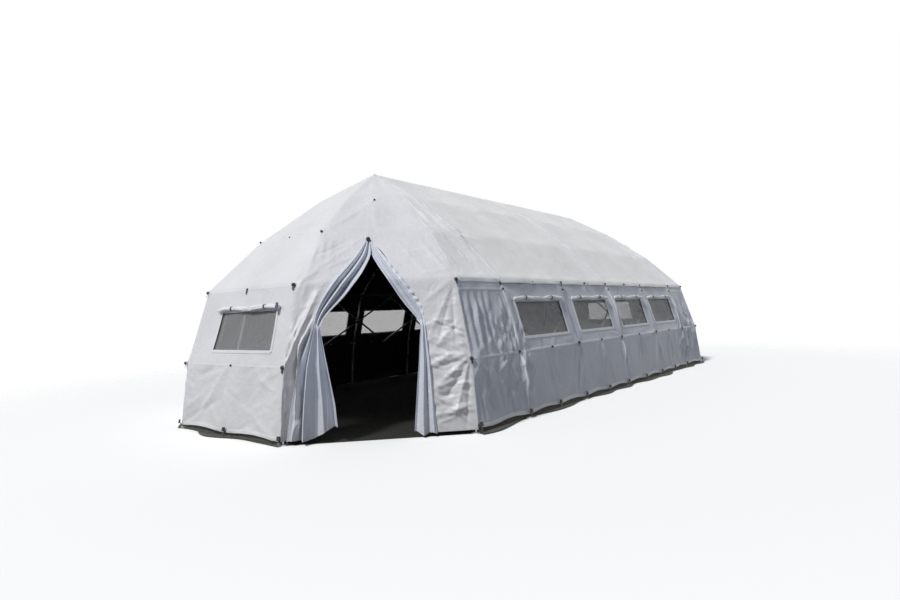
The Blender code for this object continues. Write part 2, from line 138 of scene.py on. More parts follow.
# How the fabric is laid over the frame
HUB_ROUNDING = 0.045
END_OVERLAP = 0.03
EAVE_OVERLAP = 0.06
HEM_SCALLOP = 0.030
HEM_SEAM = 0.03
EAVE_SEAM = EAVE - 0.03
BROW_LEVEL = UPPER_ROOF - 0.18
ROOF_SPAN = RIDGE - EAVE
CORNER_REACH = 1.0
VALANCE_HEIGHT = 1.60
MERGE_DISTANCE = 0.0002
PANEL_THICKNESS = 0.003
SHEET_THICKNESS = 0.002
SCREEN_THICKNESS = 0.0008
SCREEN_CELLS = (28, 12)
SHARP_ANGLE = math.radians(40)
FACING_SAMPLES = 40

# Seeds of the wrinkles
SEEDS = {
    "right_wall": 11, "left_wall": 47, "roof": 71, "front_end": 131, "rear_end": 167,
    "right_panel": 211, "left_panel": 233, "right_curtain": 31, "left_curtain": 57,
}

# Soft and sharp wrinkles of each panel: scale, step of the seed, stretch, depth, and what low cloth adds to it
WRINKLES = {
    "wall": ((1.0, 0, (1, 1, 0.3), 0.008, 0.026), (2.6, 5, (1, 1, 0.3), 0.004, 0.006)),
    "roof": ((1.0, 0, (1, 1, 1), 0.008, 0.0), (3.4, 4, (1, 1, 1), 0.0035, 0.0)),
    "end": ((1.1, 0, (1, 1, 0.5), 0.009, 0.018), (3.0, 5, (1, 1, 0.6), 0.003, 0.004)),
    "door": ((1.5, 0, (1, 1, 0.7), 0.011, 0.0), (3.6, 3, (1, 1, 0.8), 0.002, 0.002)),
}

# Where the end's fabric splits into halves, and how each half would turn with the frame
END_SPLIT = 112.5
# Half of an end: compass angles where its fabric starts and where it turns fully, the turn's run as shares
# between them, and the rib it turns with
END_HALVES = {"right": (0.0, 90.0, -0.125, 1.264, 4), "left": (180.0, END_SPLIT, 0.0, 1.0, 5)}

# Camera of the photograph
CAMERA_PLACE = (6.253, -9.300, 1.318)
CAMERA_YAW = 0.675
CAMERA_PITCH = 0.023
CAMERA_ROLL = 0.041
CAMERA_FOCAL_SHARE = 574.1 / 900.0
SENSOR_WIDTH = 36.0


def offset_profile(distance, hem):
    """The arch line moved outwards, from the hem up to the ridge."""
    lines = []
    for (r0, z0), (r1, z1) in zip(HUBS, HUBS[1:]):
        direction = Vector((r1 - r0, z1 - z0)).normalized()
        normal = Vector((direction.y, -direction.x))
        lines.append((Vector((r0, z0)) + normal * distance, direction))
    base, direction = lines[0]
    points = [base + direction * ((hem - base.y) / direction.y)]
    for (p0, d0), (p1, d1) in zip(lines, lines[1:]):
        gap = p1 - p0
        scale = (gap.x * d1.y - gap.y * d1.x) / (d0.x * d1.y - d0.y * d1.x)
        points.append(p0 + d0 * scale)
    base, direction = lines[-1]
    points.append(base + direction * (-base.x / direction.x))
    return points


COVER = offset_profile(COVER_OFFSET, HEM_HEIGHT)


def straight_cover(level):
    """Signed radius and height of the cover at a level; past the ridge the radius turns negative."""
    beyond = level > RIDGE
    if beyond:
        level = 2 * RIDGE - level
    index = min(int(level), len(COVER) - 2)
    place = COVER[index].lerp(COVER[index + 1], level - index)
    return (-place.x if beyond else place.x), place.y


def cover(level):
    """The cover line with its bends eased over the hubs."""
    own = straight_cover(level)
    if level <= HUB_ROUNDING:
        return own
    near = straight_cover(level - HUB_ROUNDING)
    far = straight_cover(level + HUB_ROUNDING)
    return tuple((a + 2 * b + c) / 4 for a, b, c in zip(near, own, far))


def level_at(height):
    """The level of the cover at a height below the ridge."""
    for index, (low, high) in enumerate(zip(COVER, COVER[1:])):
        if height <= high.y:
            return index + (height - low.y) / (high.y - low.y)
    return RIDGE


def wall_place(side):
    """Side wall: across by metres along the ridge, with the corner lengths past the end arches as 0 to 1."""
    def place(along, level):
        """A place on the wall."""
        radius, height = cover(min(level, RIDGE))
        spare = max(abs(along) - END_Y, 0.0)
        y = min(abs(along), END_Y) + spare * CORNER_SLOPE * radius
        return Vector((side * radius, math.copysign(y, along), height))
    return place


def roof_place(along, across):
    """Main roof: across runs from the left eave over the ridge to the right eave."""
    if abs(across) > HUB_ROUNDING:
        radius, height = cover(RIDGE - abs(across))
    else:
        near_radius, near_height = straight_cover(RIDGE - HUB_ROUNDING)
        part = across / HUB_ROUNDING
        radius = near_radius * abs(part)
        top = straight_cover(RIDGE)[1]
        height = top - (top - near_height) * (0.25 + 0.5 * part * part)
    return Vector((math.copysign(radius, across), along, height))


def octagon_stretch(angle):
    """How much farther out an octagon's edge is at a compass angle than at the middle of its facet."""
    return 1.0 / math.cos(math.radians((angle + RIB_STEP) % FACET_ANGLE - RIB_STEP))


def octagon_place(angle, radius, end, height=0.0, centre=END_Y):
    """A place round an end by compass angle from its right side, with the radius to the middle of a facet."""
    reach = radius * octagon_stretch(angle)
    turned = math.radians(angle)
    return Vector((reach * math.cos(turned), end * (centre + reach * math.sin(turned)), height))


def rib_point(angle, level, end):
    """A point of the cover over an end rib; at the end arch it tucks under the roof."""
    radius, height = cover(min(level, RIDGE))
    tuck = END_OVERLAP if angle in (0.0, 180.0) else 0.0
    return octagon_place(angle, max(radius, 0.0), end, height, END_Y - tuck)


def end_place(end):
    """Octagonal end: across by compass angle from the right side round to the left."""
    def place(angle, level):
        """A place on the end, between the two ribs beside it."""
        sector = min(int(angle / RIB_STEP), int(180 / RIB_STEP) - 1)
        part = angle / RIB_STEP - sector
        first = rib_point(sector * RIB_STEP, level, end)
        second = rib_point((sector + 1) * RIB_STEP, level, end)
        return first.lerp(second, part)
    return place


def door_place(part, height):
    """Doorway facet: across by share of the facet, up by height."""
    level = level_at(height)
    near = rib_point(DOOR_FACET[0], level, -1)
    far = rib_point(DOOR_FACET[1], level, -1)
    return near.lerp(far, part)


def share(amount, whole, least=0.0):
    """How much of a whole an amount is, from the least to 1."""
    return np.clip(amount / whole, least, 1.0)


def steps(first, last, spacing, keep=()):
    """Values from first to last about spacing apart that include the ones to keep."""
    marks = sorted({first, last, *[k for k in keep if first < k < last]})
    values = [marks[0]]
    for low, high in zip(marks, marks[1:]):
        count = max(1, round((high - low) / spacing))
        values += [low + (high - low) * n / count for n in range(1, count + 1)]
    return values


class Panel:
    """A sheet of fabric over the frame as a grid of points that can be wrinkled, cut and sewn on."""

    def __init__(self, place, columns, rows, facing):
        """Lay out the sheet; facing is a place behind it."""
        self.columns = np.array(columns)
        self.rows = np.array(rows)
        self.across = self.columns[None, :]
        self.up = self.rows[:, None]
        self.points = np.array([[place(u, v) for u in columns] for v in rows])
        normals = np.cross(np.gradient(self.points, axis=1), np.gradient(self.points, axis=0))
        length = np.linalg.norm(normals, axis=2, keepdims=True)
        normals = normals / np.maximum(length, 1e-9)
        outwards = np.sum((self.points - np.array(facing)) * normals)
        self.normals = normals if outwards > 0 else -normals

    def shift(self, amount):
        """Move the sheet along its normals by an amount at each point."""
        self.points = self.points + self.normals * amount[..., None]

    def raise_hem(self, phase):
        """Raise the hem between the straps that hold it down."""
        scallop = np.sin(phase) ** 2 * HEM_SCALLOP
        self.points[..., 2] += scallop * (1 - share(self.up, 0.12))

    def at(self, u, v, lift=0.0):
        """The point over a place of the grid, lifted along the normal."""
        i = int(np.clip(np.searchsorted(self.columns, u) - 1, 0, len(self.columns) - 2))
        j = int(np.clip(np.searchsorted(self.rows, v) - 1, 0, len(self.rows) - 2))
        s = (u - self.columns[i]) / (self.columns[i + 1] - self.columns[i])
        t = (v - self.rows[j]) / (self.rows[j + 1] - self.rows[j])
        place = Vector(blend_cell(self.points, i, j, s, t))
        normal = Vector(blend_cell(self.normals, i, j, s, t)).normalized()
        return place + normal * lift

    def normal(self, u, v):
        """The outward normal over a place of the grid."""
        return (self.at(u, v, 1.0) - self.at(u, v)).normalized()


def blend_cell(values, i, j, s, t):
    """Mix the four corners of a cell."""
    low = values[j, i] * (1 - s) + values[j, i + 1] * s
    high = values[j + 1, i] * (1 - s) + values[j + 1, i + 1] * s
    return low * (1 - t) + high * t


def crease_field(points, creases):
    """Height of straight sharp creases, each from a to b with a height and a width."""
    field = np.zeros(points.shape[:2])
    for a, b, height, width in creases:
        a = np.array(a)
        run = np.array(b) - a
        t = np.clip(((points - a) @ run) / (run @ run), 0.0, 1.0)
        away = np.linalg.norm(points - a - t[..., None] * run, axis=2)
        field += height * np.sin(np.pi * np.clip(t, 0.02, 0.98)) ** 0.6 * np.exp(-away / width)
    return field


def noise_field(points, scale, seed, stretch=(1, 1, 1)):
    """Smooth noise between about -1 and 1 at every point."""
    flat = points.reshape(-1, 3) * np.array(stretch) * scale + seed
    values = np.array([noise.noise(Vector(p)) for p in flat])
    return values.reshape(points.shape[:2])


def crumple_field(points, scale, seed, stretch=(1, 1, 1)):
    """Noise with sharp ridges, as coated fabric creases."""
    return 1.0 - 2.0 * np.abs(noise_field(points, scale, seed, stretch))


def wrinkled(field, kind, points, seed, low=0.0, held=1.0):
    """A field with a panel's soft and sharp wrinkles added; low cloth takes more of them, held cloth less."""
    for make, (scale, step, stretch, depth, more) in zip((noise_field, crumple_field), WRINKLES[kind]):
        field = field + make(points, scale, seed + step, stretch) * (depth + more * low) * held
    return field


def scattered(panel, seed, recipe):
    """Creases by a recipe of rows: the function that makes them, how many, the step of the seed, its values."""
    made = []
    for make, count, step, *values in recipe:
        made += make(panel, count, seed + step, *values)
    return made


def random_creases(panel, count, seed, length, height, width, window, slant, spread):
    """Creases scattered over a window (u0, u1, v0, v1) of a panel; all but the count and the seed are ranges,
    apart from the slant to the sheet's rows and how far it may spread."""
    rng = random.Random(seed)
    u0, u1, v0, v1 = window
    made = []
    for _ in range(count):
        u, v = rng.uniform(u0, u1), rng.uniform(v0, v1)
        middle = panel.at(u, v)
        span_u = (panel.at(min(u + 0.05, u1), v) - panel.at(max(u - 0.05, u0), v))
        span_v = (panel.at(u, min(v + 0.05, v1)) - panel.at(u, max(v - 0.05, v0)))
        angle = slant + rng.uniform(-spread, spread)
        heading = span_u.normalized() * math.cos(angle) + span_v.normalized() * math.sin(angle)
        half = rng.uniform(*length) / 2
        size = rng.uniform(*height) * rng.choice((1, 1, -1))
        made.append((middle - heading * half, middle + heading * half, size, rng.uniform(*width)))
    return made


def star_creases(panel, count, seed, reach, height, width, hubs):
    """Pull lines that run out from the hubs where the cover is tied, within ranges of reach, height and width."""
    rng = random.Random(seed)
    made = []
    for u, v in hubs:
        middle = panel.at(u, v)
        normal = panel.normal(u, v)
        side = normal.orthogonal().normalized()
        other = normal.cross(side)
        for _ in range(count):
            angle = rng.uniform(0, 2 * math.pi)
            heading = side * math.cos(angle) + other * math.sin(angle)
            far = rng.uniform(*reach)
            size = rng.uniform(*height) * rng.choice((1, -1))
            made.append((middle - heading * 0.08, middle + heading * far, size, rng.uniform(*width)))
    return made


def mesh_piece(name, vertices, faces, materials):
    """A smooth object from points and faces."""
    mesh = bpy.data.meshes.new(name)
    mesh.from_pydata([tuple(v) for v in vertices], [], faces)
    mesh.validate()
    for finish in materials:
        mesh.materials.append(finish)
    mesh.shade_smooth()
    obj = bpy.data.objects.new(name, mesh)
    bpy.context.scene.collection.objects.link(obj)
    return obj


def turn_faces_out(obj, prepare=None):
    """Recalculate the faces of an object outwards, after a change to its mesh."""
    work = bmesh.new()
    work.from_mesh(obj.data)
    if prepare:
        prepare(work)
    bmesh.ops.recalc_face_normals(work, faces=work.faces)
    work.to_mesh(obj.data)
    work.free()


def drop_doubles(work):
    """Merge doubled points of a mesh and drop loose ones."""
    bmesh.ops.remove_doubles(work, verts=work.verts, dist=MERGE_DISTANCE)
    bmesh.ops.dissolve_degenerate(work, edges=work.edges, dist=MERGE_DISTANCE / 4)
    loose = [v for v in work.verts if not v.link_faces]
    bmesh.ops.delete(work, geom=loose, context="VERTS")


def thicken(obj, thickness, offset):
    """Give a sheet its thickness and even shading."""
    shell = obj.modifiers.new("thickness", "SOLIDIFY")
    shell.thickness = thickness
    shell.offset = offset
    obj.modifiers.new("even_shading", "WEIGHTED_NORMAL")
    return shell


def grid_cell(j, i, columns):
    """Corners of a cell in a grid of points that is some columns wide."""
    first = j * columns + i
    return (first, first + 1, first + 1 + columns, first + columns)


def panel_piece(name, panel, materials, holes=(), skip=None):
    """The mesh of a panel with its window holes left open, thickened inwards with a near-black inner face that
    paints the shade inside.
    """
    rows, columns = len(panel.rows), len(panel.columns)
    faces = []
    for j in range(rows - 1):
        for i in range(columns - 1):
            u = (panel.columns[i] + panel.columns[i + 1]) / 2
            v = (panel.rows[j] + panel.rows[j + 1]) / 2
            in_hole = any(u0 < u < u1 and v0 < v < v1 for u0, u1, v0, v1 in holes)
            if not in_hole and not (skip and skip(u, v)):
                faces.append(grid_cell(j, i, columns))
    obj = mesh_piece(name, panel.points.reshape(-1, 3), faces, materials)
    turn_faces_out(obj, drop_doubles)
    face_outwards(obj, panel)
    # each finish is followed by its near-black inner face, painted shade of the dark inside
    thicken(obj, PANEL_THICKNESS, -1.0).material_offset = 1
    return obj


def face_outwards(obj, panel):
    """Flip the whole sheet if its faces look inwards."""
    mesh = obj.data
    total = 0.0
    points = panel.points.reshape(-1, 3)
    normals = panel.normals.reshape(-1, 3)
    for polygon in list(mesh.polygons)[:: max(1, len(mesh.polygons) // FACING_SAMPLES)]:
        nearest = np.argmin(np.sum((points - np.array(polygon.center)) ** 2, axis=1))
        total += float(np.dot(normals[nearest], np.array(polygon.normal)))
    if total < 0:
        mesh.flip_normals()


# Sections of a sewn tape and of a loose band: across in widths, then out in thicknesses
TAPE_SECTION = (
    (-0.5, 0.0), (-0.45, 1.0), (-0.2, 1.0), (0.0, 1.0), (0.2, 1.0), (0.45, 1.0),
    (0.5, 0.0), (0.45, -1.0), (0.2, -1.0), (0.0, -1.0), (-0.2, -1.0), (-0.45, -1.0),
)
BAND_SECTION = ((-0.5, 0.15), (-0.44, 1.0), (0.44, 1.0), (0.5, 0.15), (0.44, 0.0), (-0.44, 0.0))
TAPE_SPACING = 0.05
LATHE_SIDES = 14


def tape(panel, route, width, lift=0.001, thickness=0.003):
    """Points and faces of a sewn band that follows a route of (u, v) and hugs the cloth under it."""
    path = []
    for (u0, v0), (u1, v1) in zip(route, route[1:]):
        length = (panel.at(u1, v1) - panel.at(u0, v0)).length
        count = max(1, math.ceil(length / TAPE_SPACING))
        path += [(u0 + (u1 - u0) * n / count, v0 + (v1 - v0) * n / count) for n in range(count)]
    path.append(route[-1])
    upright = route[0][0] == route[1][0]
    step = 0.01 if upright else 0.002
    vertices = []
    for u, v in path:
        beside = panel.at(u + step, v) if upright else panel.at(u, v + step)
        scale = width * step / max((beside - panel.at(u, v)).length, 1e-6)
        for offset, rise in TAPE_SECTION:
            du, dv = (offset * scale, 0.0) if upright else (0.0, offset * scale)
            vertices.append(panel.at(u + du, v + dv, lift + rise * thickness))
    return vertices, tube_faces(len(path), len(TAPE_SECTION))


def tube_faces(rings, sides):
    """Faces of a closed tube of rings with both ends capped."""
    faces = []
    for ring in range(rings - 1):
        for k in range(sides):
            n = (k + 1) % sides
            a, b = ring * sides, (ring + 1) * sides
            faces.append((a + k, a + n, b + n, b + k))
    faces.append(tuple(reversed(range(sides))))
    faces.append(tuple((rings - 1) * sides + k for k in range(sides)))
    return faces


def band(centres, normals, width, thickness):
    """A flat closed strip with a soft edge along a line of points."""
    vertices = []
    for index, (centre, normal) in enumerate(zip(centres, normals)):
        before = centres[max(index - 1, 0)]
        after = centres[min(index + 1, len(centres) - 1)]
        across = (after - before).normalized().cross(normal).normalized()
        vertices += [centre + across * (a * width) + normal * (b * thickness) for a, b in BAND_SECTION]
    return vertices, tube_faces(len(centres), len(BAND_SECTION))


def merged(name, chunks, finish):
    """One piece from several sets of points and faces."""
    vertices, faces = [], []
    for points, sides in chunks:
        start = len(vertices)
        vertices += points
        faces += [tuple(start + k for k in face) for face in sides]
    obj = mesh_piece(name, vertices, faces, (finish,))
    turn_faces_out(obj)
    obj.data.set_sharp_from_angle(angle=SHARP_ANGLE)
    return obj


def turned_frame(normal):
    """Right and up directions on a surface."""
    right = Vector((0, 0, 1)).cross(normal).normalized()
    return right, normal.cross(right).normalized()


def lathe(centre, normal, profile):
    """A round solid about a normal from (radius, height) pairs, closed at both ends."""
    right, up = turned_frame(normal)
    vertices = []
    for radius, height in profile:
        for k in range(LATHE_SIDES):
            angle = 2 * math.pi * k / LATHE_SIDES
            spoke = right * math.cos(angle) + up * math.sin(angle)
            vertices.append(centre + spoke * radius + normal * height)
    return vertices, tube_faces(len(profile), LATHE_SIDES)


# A cap over a hub: a domed button on a washer, and the short webbing tab it holds
CAP_PROFILE = (
    (0.024, 0.0), (0.025, 0.004), (0.021, 0.007), (0.017, 0.008), (0.017, 0.018), (0.014, 0.023), (0.006, 0.026),
)
TAB_WIDTH = 0.022
TAB_LENGTH = 0.060


def cap(centre, normal, tab, size):
    """A hub cap and its tab, as chunks."""
    chunks = [lathe(centre, normal, [(radius * size, height * size) for radius, height in CAP_PROFILE])]
    if tab:
        _, up = turned_frame(normal)
        lifts = [0.003 + 0.002 * math.sin(n * 1.3) for n in range(5)]
        line = [centre - up * (TAB_LENGTH * n / 4) + normal * lift for n, lift in enumerate(lifts)]
        chunks.append(band(line, [normal] * 5, TAB_WIDTH, 0.003))
    return chunks


# Finishes


class Graph:
    """A node tree with short ways to add nodes and to link them."""

    def __init__(self, tree):
        """Take over a tree."""
        self.tree = tree

    def link(self, source, target):
        """Feed a socket."""
        self.tree.links.new(source, target)

    def node(self, kind, feeds=(), **values):
        """A node with its inputs and settings; feeds go to its first inputs."""
        made = self.tree.nodes.new(f"ShaderNode{kind}")
        for key, value in values.items():
            if key in made.inputs:
                made.inputs[key].default_value = value
            else:
                setattr(made, key, value)
        for source, target in zip(feeds, made.inputs):
            self.link(source, target)
        return made

    def either(self, one, other):
        """The larger of two values."""
        return self.node("Math", [one, other], operation="MAXIMUM").outputs["Value"]


class Finish(Graph):
    """A Principled material whose sockets take textures laid over the object."""

    def __init__(self, name, colour, roughness, metallic=0.0, specular=0.5, sheen=0.0):
        """Make the material with its plain values."""
        self.material = bpy.data.materials.new(name)
        self.material.use_nodes = True
        super().__init__(self.material.node_tree)
        self.shader = self.tree.nodes["Principled BSDF"]
        self.place = self.node("TexCoord").outputs["Object"]
        settings = {"Base Color": (*colour, 1.0), "Roughness": roughness, "Metallic": metallic}
        settings["Specular IOR Level"] = specular
        if sheen:
            settings["Sheen Weight"] = sheen
            settings["Sheen Roughness"] = 0.45
        for socket, value in settings.items():
            self.shader.inputs[socket].default_value = value

    def feed(self, socket, source):
        """Feed one of the shader's sockets."""
        self.link(source, self.shader.inputs[socket])

    def texture(self, kind, **values):
        """Value of a texture over the object."""
        return self.node(f"Tex{kind}", [self.place], **values).outputs["Fac"]

    def threads(self, scale, **values):
        """Two sets of threads that cross."""
        return [self.texture("Wave", Scale=scale, bands_direction=way, **values) for way in ("Z", "DIAGONAL")]

    def ramp(self, source, low, high, first, last):
        """A colour from first to last between two values."""
        made = self.node("ValToRGB", [source])
        for element, position, colour in zip(made.color_ramp.elements, (low, high), (first, last)):
            element.position = position
            element.color = (*colour, 1.0)
        return made.outputs["Color"]

    def mix(self, factor, first, last):
        """Two colours mixed; the first may be a socket."""
        made = self.node("Mix", data_type="RGBA", B=last)
        self.link(factor, made.inputs["Factor"])
        if isinstance(first, tuple):
            made.inputs["A"].default_value = first
        else:
            self.link(first, made.inputs["A"])
        return made.outputs["Result"]

    def spread(self, source, low, high):
        """A value from 0 to 1 moved to run from low to high."""
        return self.node("MapRange", [source], **{"To Min": low, "To Max": high}).outputs["Result"]

    def share_between(self, source, first, last, **values):
        """How far a value has gone from first to last."""
        return self.node("MapRange", [source], **{"From Min": first, "From Max": last}, **values).outputs["Result"]

    def bump(self, height, strength, distance=0.001, under=None):
        """A bumped normal, over another one."""
        made = self.node("Bump", Strength=strength, Distance=distance)
        self.link(height, made.inputs["Height"])
        if under:
            self.link(under, made.inputs["Normal"])
        return made.outputs["Normal"]


def shaded(colour, factor, lift=0.0):
    """A colour made darker or lighter, up to white."""
    return tuple(min(c * factor + lift, 1.0) for c in colour)


def fabric(name, colour, crease=0.25, roughness=(0.36, 0.56), sheen=0.10):
    """Coated fabric: cloudy tone, dust near the hem, fine weave, small creases and uneven gloss."""
    finish = Finish(name, colour, 0.5, specular=0.45, sheen=sheen)
    clouds = finish.texture("Noise", Scale=1.3, Detail=5.0, Roughness=0.6)
    spots = finish.texture("Noise", Scale=7.0, Detail=6.0, Roughness=0.7)
    tone = finish.ramp(clouds, 0.35, 0.65, shaded(colour, 0.94), shaded(colour, 1.04))
    height = finish.node("SeparateXYZ", [finish.place]).outputs["Z"]
    near_hem = finish.share_between(height, 0.55, 0.02)
    dirt = finish.node("Math", [near_hem, spots], operation="MULTIPLY").outputs["Value"]
    dust = (colour[0] * 0.82, colour[1] * 0.81, colour[2] * 0.78, 1.0)
    finish.feed("Base Color", finish.mix(dirt, tone, dust))
    finish.feed("Roughness", finish.spread(spots, *roughness))
    crinkle = finish.texture("Noise", Scale=5.5, Detail=3.0, Roughness=0.55, Distortion=0.8)
    centred = finish.node("Math", [crinkle], operation="SUBTRACT")
    centred.inputs[1].default_value = 0.5
    ridges = finish.node("Math", [centred.outputs["Value"]], operation="ABSOLUTE").outputs["Value"]
    weave = finish.node("Math", finish.threads(160.0, Distortion=0.6), operation="ADD").outputs["Value"]
    folds = finish.bump(ridges, crease, 0.05)
    finish.feed("Normal", finish.bump(weave, 0.10, under=folds))
    return finish.material


def webbing(name, colour):
    """Woven strap with a ribbed face and lighter worn threads."""
    finish = Finish(name, colour, 0.7, sheen=0.3)
    worn = finish.texture("Noise", Scale=40.0, Detail=4.0)
    finish.feed("Base Color", finish.ramp(worn, 0.35, 0.75, colour, shaded(colour, 1.7, 0.01)))
    ribs = finish.texture("Wave", Scale=260.0, Distortion=1.5, bands_direction="Z")
    finish.feed("Normal", finish.bump(ribs, 0.35))
    return finish.material


def brushed_metal(name, colour, roughness):
    """Drawn aluminium tube with fine length lines and dull patches."""
    finish = Finish(name, colour, roughness, metallic=0.9)
    smears = finish.texture("Noise", Scale=14.0, Detail=5.0, Roughness=0.6)
    finish.feed("Base Color", finish.ramp(smears, 0.3, 0.7, shaded(colour, 0.8), colour))
    finish.feed("Roughness", finish.spread(smears, roughness - 0.08, roughness + 0.14))
    grain = finish.texture("Noise", Scale=220.0, Detail=2.0)
    finish.feed("Normal", finish.bump(grain, 0.12))
    return finish.material


def screen(name, colour):
    """Window mesh: fine threads with open gaps that let the inside show through."""
    finish = Finish(name, colour, 0.32, specular=0.6)
    finish.feed("Alpha", finish.spread(finish.either(*finish.threads(90.0)), 0.10, 0.52))
    return finish.material


def moulded(name, colour, roughness):
    """Moulded plastic with a fine grain and scuffs."""
    finish = Finish(name, colour, roughness)
    scuffs = finish.texture("Noise", Scale=60.0, Detail=6.0)
    finish.feed("Base Color", finish.ramp(scuffs, 0.45, 0.8, colour, shaded(colour, 2.2, 0.01)))
    finish.feed("Normal", finish.bump(scuffs, 0.15))
    return finish.material


# Side walls: a darker, bluer copy of the end cloth, painted shade on the walls
SHADED_WALL = fabric("wall_fabric", (0.53, 0.55, 0.615), crease=0.30)
END = fabric("end_fabric", (0.66, 0.66, 0.69))
# Roof: a lighter copy of the end cloth, painted light on the roof
LIT_ROOF = fabric("roof_fabric", (0.815, 0.815, 0.81), crease=0.20, roughness=(0.50, 0.70))
# Hip beside the main roof: a lighter copy of the end cloth, painted light
LIT_SHOULDER = fabric("shoulder_painted_light", (0.81, 0.81, 0.83))
# Rolled flaps: a lighter copy of the wall cloth, painted light on their tops
LIT_FLAP = fabric("flap_fabric", (0.76, 0.765, 0.79), crease=0.5)
CURTAIN = fabric("curtain_fabric", (0.60, 0.625, 0.70), crease=0.25)
# Near-black inner face of the cloth: painted shade of the shelter's dark inside
SHADE_LINING = fabric("lining_painted_shade", (0.022, 0.023, 0.027), crease=0.2, roughness=(0.7, 0.9), sheen=0.0)
SKIRT = fabric("skirt_fabric", (0.060, 0.060, 0.046), crease=0.6, roughness=(0.6, 0.8))
# Groundsheet: near-black, painted shade on the floor inside
SHADE_GROUND = fabric("ground_painted_shade", (0.020, 0.021, 0.018), crease=0.5, roughness=(0.7, 0.9), sheen=0.0)
SEAM = fabric("seam_fabric", (0.68, 0.69, 0.735), crease=0.15, roughness=(0.30, 0.45))
BLACK_WEB = webbing("black_webbing", (0.012, 0.012, 0.014))
BLUE_WEB = webbing("blue_webbing", (0.045, 0.06, 0.12))
BLACK_PLASTIC = moulded("black_plastic", (0.012, 0.012, 0.013), 0.45)
SCREEN = screen("window_screen", (0.34, 0.345, 0.35))
ALUMINIUM = brushed_metal("aluminium_tube", (0.66, 0.67, 0.69), 0.36)


# Camera


def make_camera():
    """The camera at the photograph's place, with its slight roll."""
    data = bpy.data.cameras.new("camera")
    data.sensor_width = SENSOR_WIDTH
    data.lens = SENSOR_WIDTH * CAMERA_FOCAL_SHARE
    camera = bpy.data.objects.new("camera", data)
    bpy.context.scene.collection.objects.link(camera)
    forward = Vector((-math.sin(CAMERA_YAW), math.cos(CAMERA_YAW), 0)) * math.cos(CAMERA_PITCH)
    forward.z = math.sin(CAMERA_PITCH)
    right = forward.cross(Vector((0, 0, 1))).normalized()
    up = right.cross(forward).normalized()
    rolled_right = right * math.cos(CAMERA_ROLL) - up * math.sin(CAMERA_ROLL)
    rolled_up = up * math.cos(CAMERA_ROLL) + right * math.sin(CAMERA_ROLL)
    turn = Matrix((rolled_right, rolled_up, -forward)).transposed().to_4x4()
    turn.translation = Vector(CAMERA_PLACE)
    camera.matrix_world = turn
    bpy.context.scene.camera = camera


make_camera()


# Fabric panels


def follow_middle(obj):
    """Fabric attached to the middle frame, with a mesh of its own."""
    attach(obj, "middle_frame")
    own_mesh(obj)
    return obj


def follow_end(obj, end, half="right"):
    """Fabric on half an end, with its placement baked into its mesh; where its turn would start and end is worked
    out but not used.
    """
    first, last, lead, reach, rib = END_HALVES[half]
    near, far = (octagon_place(angle, COVER[0].x, end) for angle in (first, last))
    start, finish = near.lerp(far, lead), near.lerp(far, reach)
    tuple(start)
    tuple(finish)
    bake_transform(obj)
    return obj


def follow_side(obj, end, half):
    """Fabric on a side: between the end arches it goes to the middle frame, beyond them it is handled as the end's
    fabric.
    """
    return follow_end(obj, end, half) if end else follow_middle(obj)


def in_bay(y, end):
    """Whether a place along the ridge is between the end arches (end 0) or beyond the given one."""
    return y * end > END_Y if end else abs(y) < END_Y


def bay_sag(points, depth):
    """Fabric between arches hangs in a little."""
    return -depth * np.sin(np.pi * (points[..., 1] + END_Y) / BAY_LENGTH) ** 2


# Edges of the side windows along the ridge
SIDE_WINDOWS = [(y - WINDOW_LENGTH / 2, y + WINDOW_LENGTH / 2) for y in MIDDLE_STATIONS]
VALANCE_LEVEL = level_at(VALANCE_HEIGHT)
SILL_LEVEL = level_at(WINDOW_SILL)
HEAD_LEVEL = level_at(WINDOW_HEAD)
WALL_REACH = END_Y + CORNER_REACH
# Part of a side, its end and the arch it hangs from
WALL_PARTS = (("wall", 0, "arch_3"), ("wall_front_corner", -1, "arch_1"), ("wall_rear_corner", 1, "arch_5"))
# Folds from the cap over the doorway: compass angle and level where each ends, and its height
BROW_FOLDS = (
    (FACET_ANGLE, LOWER_ROOF - 0.1, 0.020),
    (RIB_STEP + 3, EAVE + 0.1, 0.012),
    (66, LOWER_ROOF, 0.014),
)
# Half of an end, the compass angles it runs between and its ribs
END_PARTS = (("right", 0.0, END_SPLIT, (1, 2, 3, 4)), ("left", END_SPLIT, 180.0, (5, 6, 7)))

# Recipes of creases: the function, how many, the step of the seed, and ranges of length or reach, height and
# width; then the hubs of a star, or the window, slant and spread of random ones
WALL_STARS = (
    (star_creases, 5, 0, (0.2, 0.6), (0.005, 0.012), (0.02, 0.04),
     [(y, level) for level in (KNEE, EAVE - 0.05) for y in ARCH_STATIONS + MIDDLE_STATIONS]),
    (star_creases, 14, 6, (0.3, 1.0), (0.008, 0.020), (0.016, 0.026),
     [(-WALL_REACH + 0.03, KNEE), (WALL_REACH - 0.03, KNEE)]),
)
WALL_CREASES = (
    (random_creases, 70, 1, (0.35, 0.9), (0.006, 0.016), (0.018, 0.040),
     (-WALL_REACH, WALL_REACH, 0.02, 0.98), 1.5, 0.35),
    (random_creases, 40, 2, (0.15, 0.5), (0.003, 0.008), (0.014, 0.028),
     (-WALL_REACH, WALL_REACH, KNEE, EAVE - 0.05), 1.45, 0.6),
)


def corner_creases(way):
    """Crumpled cloth of a side wall round its end arch and beyond it."""
    near = sorted((way * (END_Y - 0.25), way * (END_Y + 0.45)))
    bay = sorted((way * END_Y, way * WALL_REACH))
    return (
        (random_creases, 60, 31 + way, (0.10, 0.38), (0.012, 0.030), (0.010, 0.018),
         (*near, 0.25, 1.38), 0.95, 0.5),
        (random_creases, 46, 3 + way, (0.15, 0.6), (0.010, 0.028), (0.012, 0.024),
         (*bay, 0.35, EAVE - 0.3), 1.35, 0.6),
    )


